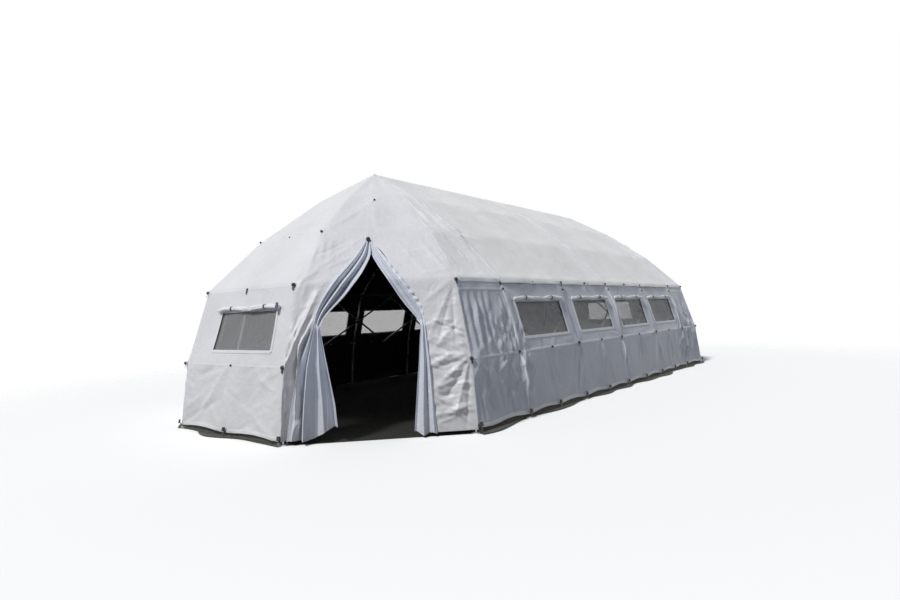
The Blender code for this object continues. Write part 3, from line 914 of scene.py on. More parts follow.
def hanging_folds(panel, seed):
    """Long folds down the wall: at each arch from the eave to its hub and on to the hem, and in the corners."""
    rng = random.Random(seed)
    made = []
    for y in ARCH_STATIONS + MIDDLE_STATIONS:
        at_arch = y in ARCH_STATIONS
        for _ in range(3 if at_arch else 2):
            sway = (rng.uniform(-0.04, 0.04), rng.uniform(-0.13, 0.13), rng.uniform(-0.28, 0.28))
            size = rng.uniform(0.016, 0.036) * rng.choice((1, 1, -1))
            if at_arch:
                made.append((panel.at(y + sway[1], EAVE - 0.1), panel.at(y + sway[0], KNEE + 0.05), size, 0.022))
            foot = panel.at(y + sway[2], rng.uniform(0.05, 0.5))
            made.append((panel.at(y + sway[0], KNEE - 0.06), foot, size, 0.026))
    for direction in (-1, 1):
        hub = panel.at(direction * (WALL_REACH - 0.04), KNEE + 0.05)
        for n in range(9):
            along = direction * (WALL_REACH - 0.06 - 0.075 * n)
            size = rng.uniform(0.018, 0.034) * (1 if n % 2 else -0.9)
            end = hub.lerp(panel.at(along, KNEE + 0.05), 0.85)
            made.append((panel.at(along, VALANCE_LEVEL - 0.02), end, size, 0.020))
            foot = panel.at(direction * (WALL_REACH - 0.05 - 0.05 * n), 0.03)
            made.append((hub.lerp(foot, 0.12), foot, rng.uniform(0.010, 0.022) * (1 if n % 2 else -1), 0.020))
    return made


def make_wall(side, label):
    """A side wall with four window openings and loose lower folds."""
    edges = [edge for pair in SIDE_WINDOWS for edge in pair]
    columns = steps(-WALL_REACH, -END_Y, 0.020)
    columns += steps(-END_Y, END_Y, 0.030, [*ARCH_STATIONS, *edges])[1:]
    columns += steps(END_Y, WALL_REACH, 0.020)[1:]
    rows = steps(0.0, EAVE - 0.004, 0.036, [KNEE, SILL_LEVEL, HEAD_LEVEL])
    panel = Panel(wall_place(side), columns, rows, (0, 0, 1.0))
    points = panel.points
    height = points[..., 2]
    seed = SEEDS[f"{label}_wall"]
    low = share(0.95 - height, 0.9)
    pinned = share(np.abs(height - COVER[1].y), 0.12, 0.25)
    field = bay_sag(points, 0.012) * np.clip(np.sin(np.pi * (panel.up % 1.0)), 0, 1)
    field = wrinkled(field, "wall", points, seed, low, pinned)
    corner = share(np.abs(points[..., 1]) - END_Y + 0.2, 0.4)
    field += corner * crumple_field(points, 5.0, seed + 17, (1, 1, 0.35)) * 0.009
    creases = scattered(panel, seed, WALL_STARS) + hanging_folds(panel, seed + 8)
    creases += scattered(panel, seed, (*WALL_CREASES, *corner_creases(-1), *corner_creases(1)))
    field += crease_field(points, creases)
    field *= share(WALL_REACH - np.abs(panel.across), 0.05)
    panel.raise_hem(np.pi * points[..., 1] / (BAY_LENGTH / 2))
    for y0, y1 in SIDE_WINDOWS:
        away = np.clip(np.abs(points[..., 1] - (y0 + y1) / 2) - WINDOW_LENGTH / 2, 0, 1)
        level = 1 - share(np.abs(panel.up - (SILL_LEVEL + HEAD_LEVEL) / 2), 0.32)
        field *= 1 - 0.6 * np.exp(-away / 0.04) * level
    panel.shift(field)
    holes = [(y0, y1, SILL_LEVEL, HEAD_LEVEL) for y0, y1 in SIDE_WINDOWS]
    for part, end, hung_from in WALL_PARTS:
        # the wall cloth's darker, bluer tone is painted shade
        obj = panel_piece(f"{label}_{part}", panel, (SHADED_WALL, SHADE_LINING), holes,
                          skip=lambda y, level: not in_bay(y, end))
        if end == 0:
            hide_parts(f"{label}_wall_cover")
        follow_side(obj, end, label)
    return panel


WHOLE_ROOF = (-END_Y, END_Y, -ROOF_SPAN, ROOF_SPAN)
ROOF_CREASES = (
    (star_creases, 5, 6, (0.2, 0.6), (0.004, 0.010), (0.02, 0.04),
     [(y, v) for y in ARCH_STATIONS for v in (-2.0, -1.0, 1.0, 2.0)]),
    (star_creases, 14, 7, (0.2, 0.7), (0.008, 0.018), (0.015, 0.026),
     [(y, v) for y in (-END_Y + 0.02, END_Y - 0.02) for v in (-2.0, 2.0)]),
    (random_creases, 90, 8, (0.2, 0.9), (0.005, 0.013), (0.014, 0.026), WHOLE_ROOF, 0.0, 0.7),
    (random_creases, 50, 9, (0.2, 0.7), (0.005, 0.011), (0.014, 0.026), WHOLE_ROOF, 1.3, 0.5),
)


def make_roof():
    """The main roof over all the arches."""
    columns = steps(-END_Y, END_Y, 0.045, ARCH_STATIONS)
    reach = ROOF_SPAN + EAVE_OVERLAP
    rows = steps(-reach, reach, 0.055, [-3.0, -2.0, -1.0, 0.0, 1.0, 2.0, 3.0])
    panel = Panel(roof_place, columns, rows, (0, 0, 0))
    points = panel.points
    seed = SEEDS["roof"]
    field = bay_sag(points, 0.014) * np.abs(np.sin(np.pi * panel.up))
    field = wrinkled(field, "roof", points, seed)
    field += crease_field(points, scattered(panel, seed, ROOF_CREASES))
    wave = np.sin(np.pi * (points[..., 1] + END_Y) / (BAY_LENGTH / 2)) ** 2
    field += share(np.abs(panel.up) - 2.9, 0.1) * (0.006 + 0.014 * wave)
    panel.shift(field)
    # the roof cloth's lighter tone is painted light
    obj = panel_piece("main_roof", panel, (LIT_ROOF, SHADE_LINING))
    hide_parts("roof_cover")
    follow_middle(obj)
    width = 2 * sum((b - a).length for a, b in zip(COVER[2:], COVER[3:]))
    return panel


def end_window(end):
    """The end window as a hole in compass angle and level."""
    half_facet = cover((SILL_LEVEL + HEAD_LEVEL) / 2)[0] * CORNER_SLOPE
    shift = FRONT_WINDOW_SHIFT * (1 if end < 0 else -1)
    edges = []
    for x in (shift + WINDOW_LENGTH / 2, shift - WINDOW_LENGTH / 2):
        edges.append(90.0 - math.copysign(RIB_STEP * abs(x) / half_facet, x))
    return (*edges, SILL_LEVEL, HEAD_LEVEL)


def left_out(end, angle, level):
    """Whether a place of an end has no cloth: beside the side walls, and in the doorway facet of the front."""
    beside = not RIB_STEP <= angle <= 180 - RIB_STEP and level < EAVE - EAVE_OVERLAP
    doorway = end < 0 and DOOR_FACET[0] < angle < DOOR_FACET[1] and level < LOWER_ROOF
    return beside or doorway


END_FACETS = (RIB_STEP, 180 - RIB_STEP, 0.05, KNEE)
END_HIPS = [(first, first + RIB_STEP - 2, EAVE + 0.1, UPPER_ROOF - 0.1) for first in (2.0, 180 - RIB_STEP)]
END_CREASES = (
    (star_creases, 6, 1, (0.3, 0.9), (0.006, 0.014), (0.02, 0.04),
     [(rib, level) for rib in RIBS[1:8] for level in (KNEE, EAVE, LOWER_ROOF)]),
    (random_creases, 50, 2, (0.3, 1.1), (0.008, 0.020), (0.014, 0.026), END_FACETS, 0.8, 0.5),
    (random_creases, 50, 4, (0.3, 1.1), (0.008, 0.020), (0.014, 0.026), END_FACETS, -0.8, 0.5),
    (random_creases, 60, 6, (0.15, 0.5), (0.004, 0.010), (0.010, 0.018), (*END_FACETS[:3], KNEE + 0.3), 0.0, 1.5),
    (random_creases, 60, 3, (0.2, 0.8), (0.002, 0.006), (0.012, 0.03), (5, 175, EAVE, UPPER_ROOF), 1.0, 1.5),
    (random_creases, 44, 8, (0.15, 0.55), (0.008, 0.020), (0.012, 0.020), END_HIPS[0], 1.2, 0.5),
    (random_creases, 44, 8, (0.15, 0.55), (0.008, 0.020), (0.012, 0.020), END_HIPS[1], 1.2, 0.5),
    (star_creases, 16, 9, (0.35, 1.0), (0.012, 0.026), (0.014, 0.024), [(RIBS[3], KNEE), (RIBS[5], KNEE)]),
)


def end_creases(panel, end, seed):
    """Creases of an end; the front one also has folds from the cap over its doorway."""
    creases = scattered(panel, seed, END_CREASES)
    if end < 0:
        brow = panel.at(FACET_ANGLE, BROW_LEVEL)
        for angle, level, size in BROW_FOLDS:
            creases.append((brow, panel.at(angle, level), size, 0.024))
    return creases


def make_end(end, label):
    """An octagonal end: hip roof and walls, with the doorway facet of the front left open."""
    window = end_window(end)
    columns = steps(0.0, 180.0, 0.95, [*RIBS, *window[:2]])
    rows = steps(0.0, KNEE, 0.030)
    rows += steps(KNEE, RIDGE, 0.045, [EAVE, LOWER_ROOF, UPPER_ROOF, SILL_LEVEL, HEAD_LEVEL])[1:]
    panel = Panel(end_place(end), columns, rows, (0, end * END_Y, 1.0))
    points = panel.points
    height = points[..., 2]
    seed = SEEDS[f"{label}_end"]
    low = share(0.95 - height, 0.9)
    sector = np.sin(np.pi * (panel.across / RIB_STEP)) ** 2
    lobe = np.abs(np.sin(np.pi * panel.up))
    thin = share(np.linalg.norm(points[..., :2] - np.array((0, end * END_Y)), axis=2), 0.8)
    field = -0.012 * sector * lobe * thin
    field = wrinkled(field, "end", points, seed, low, thin)
    field += crease_field(points, end_creases(panel, end, seed)) * thin
    sewn = (*DOOR_FACET, RIBS[7]) if end < 0 else (RIBS[1], RIBS[7])
    for rib in RIBS[1:8]:
        field *= share(np.abs(panel.across - rib), 1.5, 0.0 if rib in sewn else 0.4)
    if end < 0:
        field *= share(np.abs(panel.up - LOWER_ROOF), 0.08)
    beside_wall = (panel.across < RIB_STEP) | (panel.across > 180 - RIB_STEP)
    field += beside_wall * share(EAVE + 0.1 - panel.up, 0.1) * 0.008
    panel.raise_hem(np.pi * (panel.across / RIB_STEP))
    panel.shift(field)
    slant_height = sum((b - a).length for a, b in zip(COVER, COVER[1:]))
    for half, first, last, ribs in END_PARTS:
        obj = panel_piece(f"{label}_end_{half}", panel, (END, SHADE_LINING, LIT_SHOULDER, SHADE_LINING), [window],
                          skip=lambda angle, level: left_out(end, angle, level) or not first < angle < last)
        # paints light on the hip beside the main roof
        paint_light_on_shoulder(obj)
        if half == "right":
            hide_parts(f"{label}_end_cover")
        follow_end(obj, end, half)
    return panel


def paint_light_on_shoulder(obj):
    """Give an end's roof beside the main roof, up to the corner rib, a lighter cloth like the roof's: painted
    light on the hip.
    """
    for polygon in obj.data.polygons:
        x, y, z = polygon.center
        angle = math.degrees(math.atan2(abs(y) - END_Y, abs(x)))
        if angle < RIB_STEP and z > COVER[2].y:
            polygon.material_index = 2


right_wall = make_wall(1, "right")
left_wall = make_wall(-1, "left")
roof = make_roof()
front_end = make_end(-1, "front")
rear_end = make_end(1, "rear")


# Doorway


def eased(table, height, column=1):
    """A value from a table by height, with its bends eased."""
    heights = [row[0] for row in table]
    values = [row[column] for row in table]
    return sum(np.interp(height + shift, heights, values) * part for shift, part in EASING)


# Pull lines of the doorway's panels: from and to as (share, height), then height and width of the fold
LEFT_PULLS = (
    ((0.975, 2.27), (0.995, 0.86), 0.026, 0.040),
    ((0.94, 2.20), (0.99, 0.88), -0.022, 0.035),
    ((0.90, 2.08), (0.985, 0.90), 0.034, 0.040),
    ((0.87, 1.85), (0.98, 0.92), -0.028, 0.035),
    ((0.85, 1.62), (0.975, 0.90), 0.036, 0.035),
    ((0.85, 1.45), (0.965, 0.88), -0.034, 0.032),
    ((0.86, 1.32), (0.955, 0.86), 0.034, 0.030),
    ((0.985, 2.26), (0.930, 1.60), 0.050, 0.030),
    ((0.930, 2.26), (0.860, 1.48), 0.055, 0.030),
    ((0.870, 2.24), (0.790, 1.46), 0.045, 0.028),
    ((0.60, 2.30), (0.97, 1.70), 0.010, 0.030),
    ((0.70, 2.28), (0.96, 2.00), -0.008, 0.025),
)
RIGHT_PULLS = (
    ((0.01, 1.70), (0.22, 1.05), 0.014, 0.030),
    ((0.01, 1.69), (0.18, 0.95), -0.012, 0.026),
    ((0.01, 1.72), (0.23, 1.44), 0.012, 0.026),
    ((0.01, 1.74), (0.33, 1.90), -0.008, 0.026),
    ((0.02, 1.76), (0.12, 2.25), 0.010, 0.028),
    ((0.03, 1.66), (0.08, 0.90), -0.016, 0.030),
    ((0.01, 0.86), (0.22, 1.10), 0.016, 0.024),
    ((0.01, 0.85), (0.23, 0.88), 0.020, 0.022),
    ((0.01, 0.84), (0.21, 0.72), -0.018, 0.024),
    ((0.01, 0.83), (0.19, 0.55), 0.024, 0.024),
    ((0.01, 0.82), (0.17, 0.35), -0.022, 0.026),
    ((0.01, 0.81), (0.12, 0.18), 0.026, 0.026),
    ((0.01, 0.80), (0.06, 0.06), -0.022, 0.028),
    ((0.03, 1.25), (0.20, 0.92), 0.014, 0.022),
    ((0.05, 0.62), (0.23, 0.50), 0.018, 0.022),
    ((0.06, 0.45), (0.22, 0.40), -0.016, 0.022),
    ((0.04, 0.30), (0.23, 0.22), 0.020, 0.024),
)


# Share of a pleat that falls to the inside
PLEAT_FALL = 0.76
# Height, then depth of the folds in the left panel's foot
GATHER_FOOT = ((0.0, 0.05), (0.9, 0.055), (1.15, 0.03), (1.5, 0.0))


def pleat(turn):
    """One asymmetric fold per turn: a slow fall to the inside, then a quick return."""
    turn = turn % 1.0
    if turn < PLEAT_FALL:
        return 1 - 2 * turn / PLEAT_FALL
    return -1 + 2 * (turn - PLEAT_FALL) / (1 - PLEAT_FALL)


def gathered_foot(panel):
    """Folds of the left panel below the line from its hub to the curtain's tie."""
    field = np.zeros(panel.points.shape[:2])
    hub, tie = COVER[1].y, DOOR_TIE_HEIGHT
    for j, height in enumerate(panel.rows):
        for i, across in enumerate(panel.columns):
            under = (hub + (tie - hub) * across) - height
            if under <= 0:
                continue
            ease = min(under / 0.12, 1.0)
            depth = np.interp(height, *zip(*GATHER_FOOT)) * ease
            lean = 0.16 * math.sin(3.1 * height + 5 * across)
            field[j, i] = 1.5 * depth * pleat(1.7 * across + lean) - 0.045 * ease
    return field


def make_door_panel(label):
    """The fabric between a corner rib and the doorway, with the folds its ties pull in it."""
    corner = 0.0 if label == "right" else 1.0
    edges = PANEL_EDGES[label]
    pulls = RIGHT_PULLS if label == "right" else LEFT_PULLS
    top = COVER[3].y

    def place(across, height):
        """A place on the panel, from its corner rib to its edge at the doorway."""
        if height < DOOR_APEX_HEIGHT - 0.05:
            edge = eased(edges, height)
        else:
            edge = np.interp(height, *zip(*edges))
        return door_place(corner + (edge - corner) * across, height)

    rows = steps(HEM_HEIGHT, top, 0.016, [COVER[1].y, COVER[2].y, DOOR_TIE_HEIGHT, DOOR_APEX_HEIGHT])
    columns = steps(0.0, 1.0, 0.024 if label == "right" else 0.03)
    panel = Panel(place, columns, rows, (0.8, -4.0, 1.0))
    points = panel.points
    height = points[..., 2]
    seed = SEEDS[f"{label}_panel"]
    low = share(1.3 - height, 0.9)
    held = share(panel.across, 0.12) * share(top - panel.up, 0.12)
    field = wrinkled(0.0, "door", points, seed, low)
    creases = [(door_place(*a), door_place(*b), size, width) for a, b, size, width in pulls]
    slant, spread = (0.35, 0.8) if label == "right" else (1.45, 0.3)
    creases += scattered(panel, seed, (
        (random_creases, 110, 1, (0.08, 0.38), (0.006, 0.016), (0.009, 0.018),
         (0.05, 0.95, 0.10, 1.25), slant, spread),
        (random_creases, 16, 2, (0.3, 0.9), (0.003, 0.008), (0.015, 0.03),
         (0.05, 0.95, 1.2, 2.2), 0.9, 1.2),
    ))
    field += crease_field(points, creases)
    if label == "left":
        field += gathered_foot(panel)
    panel.shift(field * held)
    obj = panel_piece(f"door_panel_{label}", panel, (END, SHADE_LINING))
    follow_end(obj, -1)


make_door_panel("right")
make_door_panel("left")

# Folds across a curtain: middle and width as shares of it, then height in metres
UPPER_FOLDS = {
    "right": ((0.10, 0.10, 0.022), (0.45, 0.10, 0.030), (0.62, 0.06, -0.030), (0.95, 0.12, -0.060)),
    "left": (
        (0.16, 0.14, 0.036), (0.23, 0.025, -0.012), (0.39, 0.05, -0.080), (0.55, 0.08, 0.034),
        (0.62, 0.02, -0.014), (0.75, 0.07, -0.095), (0.93, 0.07, 0.004),
    ),
}
LOWER_FOLDS = {
    "right": ((0.12, 0.10, 0.035), (0.36, 0.10, -0.030), (0.60, 0.14, 0.045), (0.90, 0.10, -0.030)),
    "left": (
        (0.10, 0.03, 0.020), (0.31, 0.02, 0.024), (0.46, 0.05, -0.020), (0.72, 0.03, 0.022), (0.90, 0.04, -0.016),
    ),
}
# Cells down and across a curtain, and how far its hem rises towards its inner edge
CURTAIN_GRID = {"right": (170, 44), "left": (110, 110)}
HEM_RISE = {"right": 0.02, "left": 0.14}


def folded(part, folds):
    """Depth of the folds at a share across a curtain."""
    return sum(size * math.exp(-(abs(part - middle) / width) ** 1.5) for middle, width, size in folds)


def curtain_depth(label, part, height, loose, seed):
    """How far a curtain stands out at a share across it and a height."""
    sway = 0.035 * noise.noise(Vector((part * 3, height * 1.6, seed)))
    above = min(max((height - DOOR_TIE_HEIGHT) / 0.06 + 0.5, 0.0), 1.0)
    bent = part + sway
    lower = folded(bent, LOWER_FOLDS[label])
    if label == "left":
        lower += 0.080 * pleat(2.7 * max(bent, 0.0) ** 1.2 + 0.30) * (0.7 + 0.3 * math.sin(7 * bent))
    depth = folded(bent, UPPER_FOLDS[label]) * above + lower * (1 - above)
    depth = depth * loose + (1 - loose) * 0.020 - 0.014 * above
    grain = noise.noise(Vector((part * 16, height * 3.0, seed + 9)))
    depth += 0.010 * loose * (0.5 - abs(grain))
    if label == "right":
        ruffle = math.sin(2 * math.pi * height / 0.082 + 3 * noise.noise(Vector((0, height * 4, 3))))
        strength = max(noise.noise(Vector((5, height * 5, 1))) + 0.45, 0.0)
        depth += 0.026 * ruffle * strength * above * loose * math.exp(-((part - 0.10) / 0.16) ** 2)
    return depth


def mesh_from_grid(name, points, finish, thickness=SHEET_THICKNESS):
    """A sheet from a grid of points, thickened."""
    rows, columns = points.shape[:2]
    faces = [grid_cell(j, i, columns) for j in range(rows - 1) for i in range(columns - 1)]
    obj = mesh_piece(name, points.reshape(-1, 3), faces, (finish,))
    thicken(obj, thickness, 0.0)
    return obj


def make_curtain(label):
    """A curtain drawn from the apex to its tie, falling to the ground in deep uneven folds."""
    lines = CURTAIN_LINES[label]
    rows, columns = CURTAIN_GRID[label]
    top = DOOR_APEX_HEIGHT - 0.02
    facing = Vector((math.cos(math.radians(45)), -math.sin(math.radians(45)), 0))
    seed = SEEDS[f"{label}_curtain"]
    points = np.zeros((rows + 1, columns + 1, 3))
    for j in range(rows + 1):
        for i in range(columns + 1):
            part = i / columns
            hem = 0.035 + HEM_RISE[label] * part ** 2 + 0.015 * math.sin(9 * part + seed)
            height = top + (hem - top) * (j / rows)
            outer, inner, loose = (eased(lines, height, column) for column in (1, 2, 3))
            depth = curtain_depth(label, part, height, loose, seed)
            points[j, i] = door_place(outer + (inner - outer) * part, height) + facing * depth
    obj = mesh_from_grid(f"door_curtain_{label}_cloth", points, CURTAIN)
    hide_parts(f"door_curtain_{label}")
    follow_end(obj, -1)


make_curtain("right")
make_curtain("left")


# Windows


def make_window(name, panel, window, end, flap_node):
    """A window's screen, its sewn binding and the rolled flap tied above it."""
    u0, u1, v0, v1 = window
    columns = steps(u0, u1, (u1 - u0) / SCREEN_CELLS[0])
    rows = steps(v0, v1, (v1 - v0) / SCREEN_CELLS[1])
    points = np.array([[panel.at(u, v, -0.012) for u in columns] for v in rows])
    along, up = (np.sin(np.pi * np.linspace(0, 1, len(marks))) for marks in (columns, rows))
    slack = along[None, :] * up[:, None]
    normal = np.array(panel.normal((u0 + u1) / 2, (v0 + v1) / 2))
    ripple = noise_field(points, 5.0, 7.0) * 0.006
    points = points + normal * (ripple * slack - 0.012 * slack)[..., None]
    mesh = mesh_from_grid(f"{name}_screen", points, SCREEN, SCREEN_THICKNESS)
    follow_side(mesh, end, "right")
    size = ((panel.at(u1, v0) - panel.at(u0, v0)).length, (panel.at(u0, v1) - panel.at(u0, v0)).length)
    route = [(u0, v0), (u1, v0), (u1, v1), (u0, v1), (u0, v0)]
    pieces = [tape(panel, [a, b], BINDING_WIDTH, 0.002, 0.004) for a, b in zip(route, route[1:])]
    binding = merged(f"{name}_binding", pieces, SEAM)
    follow_side(binding, end, "right")
    make_roll(name, panel, window, end, flap_node)


def make_roll(name, panel, window, end, flap_node):
    """The window flap rolled up under its ties, a little uneven along its length."""
    u0, u1, _, v1 = window
    seed = sum(ord(letter) for letter in name)
    start, finish = panel.at(u0, v1), panel.at(u1, v1)
    along = (finish - start).normalized()
    normal = panel.normal((u0 + u1) / 2, v1)
    up = normal.cross(along).normalized()
    if up.z < 0:
        up = -up
    spare = (FLAP_LENGTH - (finish - start).length) / 2
    start, finish = start - along * spare, finish + along * spare
    centre_lift = normal * (FLAP_RADIUS + 0.004) + up * FLAP_RADIUS
    vertices = []
    for ring in range(ROLL_RINGS + 1):
        part = ring / ROLL_RINGS
        tied = min(abs(part - tie) for tie in ROLL_TIES)
        sag = 0.016 * math.sin(math.pi * min(tied / 0.24, 1.0) / 2) ** 2
        wobble = noise.noise(Vector((part * 6, seed, 0))) * 0.010
        centre = start.lerp(finish, part) + centre_lift + up * (wobble - sag)
        pinch = 1.0 - 0.28 * math.exp(-((tied / 0.025) ** 2))
        blunt = min(1.0, 0.55 + min(part, 1 - part) / 0.03)
        for k in range(ROLL_SIDES):
            angle = 2 * math.pi * k / ROLL_SIDES
            grain = noise.noise(Vector((part * 13 + seed, math.cos(angle) * 1.8, math.sin(angle) * 1.8)))
            layer = 0.16 * ((k / ROLL_SIDES + part * 0.3) % 1.0)
            radius = FLAP_RADIUS * pinch * blunt * (0.90 + 0.30 * grain + layer)
            vertices.append(centre + normal * (math.cos(angle) * radius * 0.92) + up * (math.sin(angle) * radius))
    # the flap's lighter cloth is painted light
    roll = merged(f"{name}_rolled_flap", [(vertices, tube_faces(ROLL_RINGS + 1, ROLL_SIDES))], LIT_FLAP)
    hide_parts(flap_node)
    follow_side(roll, end, "right")
    ties = [tie_loop(start.lerp(finish, tie) + centre_lift, normal, up, FLAP_RADIUS * 0.86) for tie in ROLL_TIES]
    follow_side(merged(f"{name}_flap_ties", ties, BLACK_WEB), end, "right")
    if name == "front_window":
        top = start.lerp(finish, 0.02) + centre_lift
        line = [top + up * (0.03 - 0.016 * n) + normal * 0.02 for n in range(7)]
        loose_end = merged("front_window_roll_strap", [band(line, [normal] * 7, 0.05, 0.004)], BLUE_WEB)
        follow_side(loose_end, end, "right")


def tie_loop(centre, normal, up, radius):
    """A loop of webbing round a rolled flap."""
    spokes = []
    for k in range(TIE_SIDES + 1):
        angle = 2 * math.pi * k / TIE_SIDES
        spokes.append(normal * math.cos(angle) + up * math.sin(angle))
    return band([centre + spoke * radius for spoke in spokes], spokes, 0.022, 0.004)


for side_label, wall in (("right", right_wall), ("left", left_wall)):
    for bay, (y0, y1) in enumerate(SIDE_WINDOWS, 1):
        make_window(f"{side_label}_window_{bay}", wall, (y0, y1, SILL_LEVEL, HEAD_LEVEL), 0,
                    f"{side_label}_window_flap_{bay}")
make_window("front_window", front_end, end_window(-1), -1, "front_window_flap")
make_window("rear_window", rear_end, end_window(1), 1, "rear_window_flap")


# Seams, caps and straps


def wall_trim(panel, label):
    """Seam bands along the eave, the valance, the mid seam and the hem of a side wall."""
    reach = WALL_REACH - 0.01
    parts = (("wall", 0, -END_Y, END_Y), ("front_corner", -1, -reach, -END_Y), ("rear_corner", 1, END_Y, reach))
    for name, end, y0, y1 in parts:
        bands = [
            tape(panel, [(y0, KNEE), (y1, KNEE)], 0.034),
            tape(panel, [(y0, HEM_SEAM), (y1, HEM_SEAM)], 0.040),
            tape(panel, [(y0, EAVE_SEAM), (y1, EAVE_SEAM)], 0.050, 0.002),
        ]
        if end:
            bands.append(tape(panel, [(y0, VALANCE_LEVEL), (y1, VALANCE_LEVEL)], 0.030))
        else:
            bands += [tape(panel, [(y, 0.02), (y, EAVE_SEAM)], 0.026) for y in (-END_Y, 0.0, END_Y)]
        follow_side(merged(f"{label}_{name}_seams", bands, SEAM), end, label)


def strap(place, outward):
    """A hem strap: a thick black toggle on the hem and a short strap to the ground, as chunks."""
    down = Vector((0, 0, -1))
    line = [place + outward * (0.010 + 0.008 * n) + down * ((place.z - 0.012) * n / 4) for n in range(5)]
    toggle = [place + outward * (0.014 + 0.003 * n) + down * (0.014 * n - 0.040) for n in range(4)]
    return [band(line, [outward] * 5, 0.028, 0.004), band(toggle, [outward] * 4, 0.040, 0.020)]


def cap_on(panel, u, v, lift, tab, size):
    """A cap on a panel, as chunks."""
    return cap(panel.at(u, v, lift), panel.normal(u, v), tab, size)


def wall_fittings(panel, side, label):
    """Caps and straps of a side wall: those at an arch ride it, those between arches stay on the fabric."""
    outward = Vector((side, 0, 0))
    frames = ["front_frame", "second_frame", "middle_frame", "fourth_frame", "rear_frame"]
    for y, body in zip(ARCH_STATIONS, frames):
        chunks = []
        for level, size in ((KNEE, 1.0), (VALANCE_LEVEL, 0.7), (EAVE_SEAM, 0.8)):
            chunks += cap_on(panel, y, level, 0.004, level != VALANCE_LEVEL, size)
        chunks += strap(panel.at(y, HEM_SEAM), outward)
        piece = merged(f"{label}_fittings_{body}", chunks, BLACK_PLASTIC)
        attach(piece, body)
    chunks = []
    for y in MIDDLE_STATIONS:
        chunks += strap(panel.at(y, HEM_SEAM), outward)
        for level in (KNEE, EAVE_SEAM):
            chunks += cap_on(panel, y, level, 0.004, False, 0.75)
    follow_middle(merged(f"{label}_fittings_between", chunks, BLACK_PLASTIC))
    for name, end in (("front", -1), ("rear", 1)):
        chunks = strap(panel.at(end * (WALL_REACH - 0.02), HEM_SEAM), outward)
        follow_end(merged(f"{label}_{name}_corner_strap", chunks, BLACK_PLASTIC), end, label)


wall_trim(right_wall, "right")
wall_trim(left_wall, "left")
wall_fittings(right_wall, 1, "right")
wall_fittings(left_wall, -1, "left")


def roof_trim():
    """Seam bands of the main roof near the end arches and over the middle one."""
    levels = (-2.98, -2.0, -1.0, 0.0, 1.0, 2.0, 2.98)
    bands = [tape(roof, [(y, v) for v in levels], 0.040) for y in (-END_Y + 0.02, 0.0, END_Y - 0.02)]
    follow_middle(merged("roof_seams", bands, SEAM))


roof_trim()


def end_trim(panel, end, label):
    """Seams along the levels of an end and beside its corner ribs, and the crown of the doorway."""
    start = DOOR_FACET[1] if end < 0 else RIB_STEP
    finish = 180 - RIB_STEP
    for half, first, last, corner in (("right", start, END_SPLIT, RIB_STEP), ("left", END_SPLIT, finish, finish)):
        bands = []
        angles = steps(first + 0.1, last - 0.1, 4.5, RIBS)
        for level, width in ((HEM_SEAM, 0.040), (KNEE, 0.026), (EAVE_SEAM, 0.026)):
            bands.append(tape(panel, [(a, level) for a in angles], width, 0.0, 0.0015))
        levels = steps(EAVE + 0.02, LOWER_ROOF, 0.5)
        for shift in (-1.1, 1.1):
            bands.append(tape(panel, [(corner + shift, v) for v in levels], 0.012, 0.001, 0.002))
        if end < 0 and half == "right":
            rise = DOOR_APEX_HEIGHT - COVER[3].y
            crown = [door_place(0.515 + 0.035 * n / 4, COVER[3].y + rise * n / 4) for n in range(5)]
            bands.append(band(crown, [DOOR_OUTWARDS] * 5, 0.016, 0.003))
        follow_end(merged(f"{label}_end_seams_{half}", bands, SEAM), end, half)


end_trim(front_end, -1, "front")
end_trim(rear_end, 1, "rear")


def end_fittings(panel, end, label):
    """Caps and straps of each end rib."""
    for n in range(1, 8):
        angle = RIBS[n]
        corner = n % 2 == 1
        size = 1.0 if corner else 0.6
        spots = [(KNEE, size, corner), (EAVE_SEAM, size, n != 6)]
        if n > 2:
            spots.append((LOWER_ROOF, 0.75 if corner else 0.45, False))
        if n == 2:
            spots = [(BROW_LEVEL, 0.7, False)]
        chunks = []
        for level, size, tab in spots:
            chunks += cap_on(panel, angle, level, 0.003, tab, size)
        if end < 0 and n == 2:
            apex = door_place(DOOR_APEX + 0.01, DOOR_APEX_HEIGHT)
            chunks += cap(apex + Vector((0.02, -0.02, 0.0)), DOOR_OUTWARDS, True, 1.1)
        else:
            turned = math.radians(angle)
            chunks += strap(panel.at(angle, HEM_SEAM), Vector((math.cos(turned), end * math.sin(turned), 0)))
        piece = merged(f"{label}_rib_{n}_fittings", chunks, BLACK_PLASTIC)
        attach(piece, f"{label}_end_rib_{n}")


end_fittings(front_end, -1, "front")
end_fittings(rear_end, 1, "rear")


# Ground skirt

# Section of the skirt: outset from the frame, then height
SKIRT_SECTION = (
    (0.024, 0.130), (0.026, 0.080), (0.028, 0.035), (0.034, 0.006), (0.060, 0.006),
    (0.090, 0.006), (0.125, 0.006), (0.165, 0.006), (0.205, 0.005),
)
# Corners of the ring from the doorway round by the left side: compass angle and end
SKIRT_CORNERS = (
    (67.5, -1), (112.5, -1), (157.5, -1), (180.0, -1), (180.0, 1), (157.5, 1),
    (112.5, 1), (67.5, 1), (22.5, 1), (0.0, 1), (0.0, -1), (22.5, -1),
)
# Part of the skirt, its end and half, and the corners of the ring it runs between
SKIRT_PARTS = (
    ("front", -1, "right", 0, 1),
    ("front_left", -1, "left", 1, 3),
    ("left_side", 0, "left", 3, 4),
    ("rear_left", 1, "left", 4, 6),
    ("rear", 1, "right", 6, 9),
    ("right_side", 0, "right", 9, 10),
    ("front_right", -1, "right", 10, 11),
)


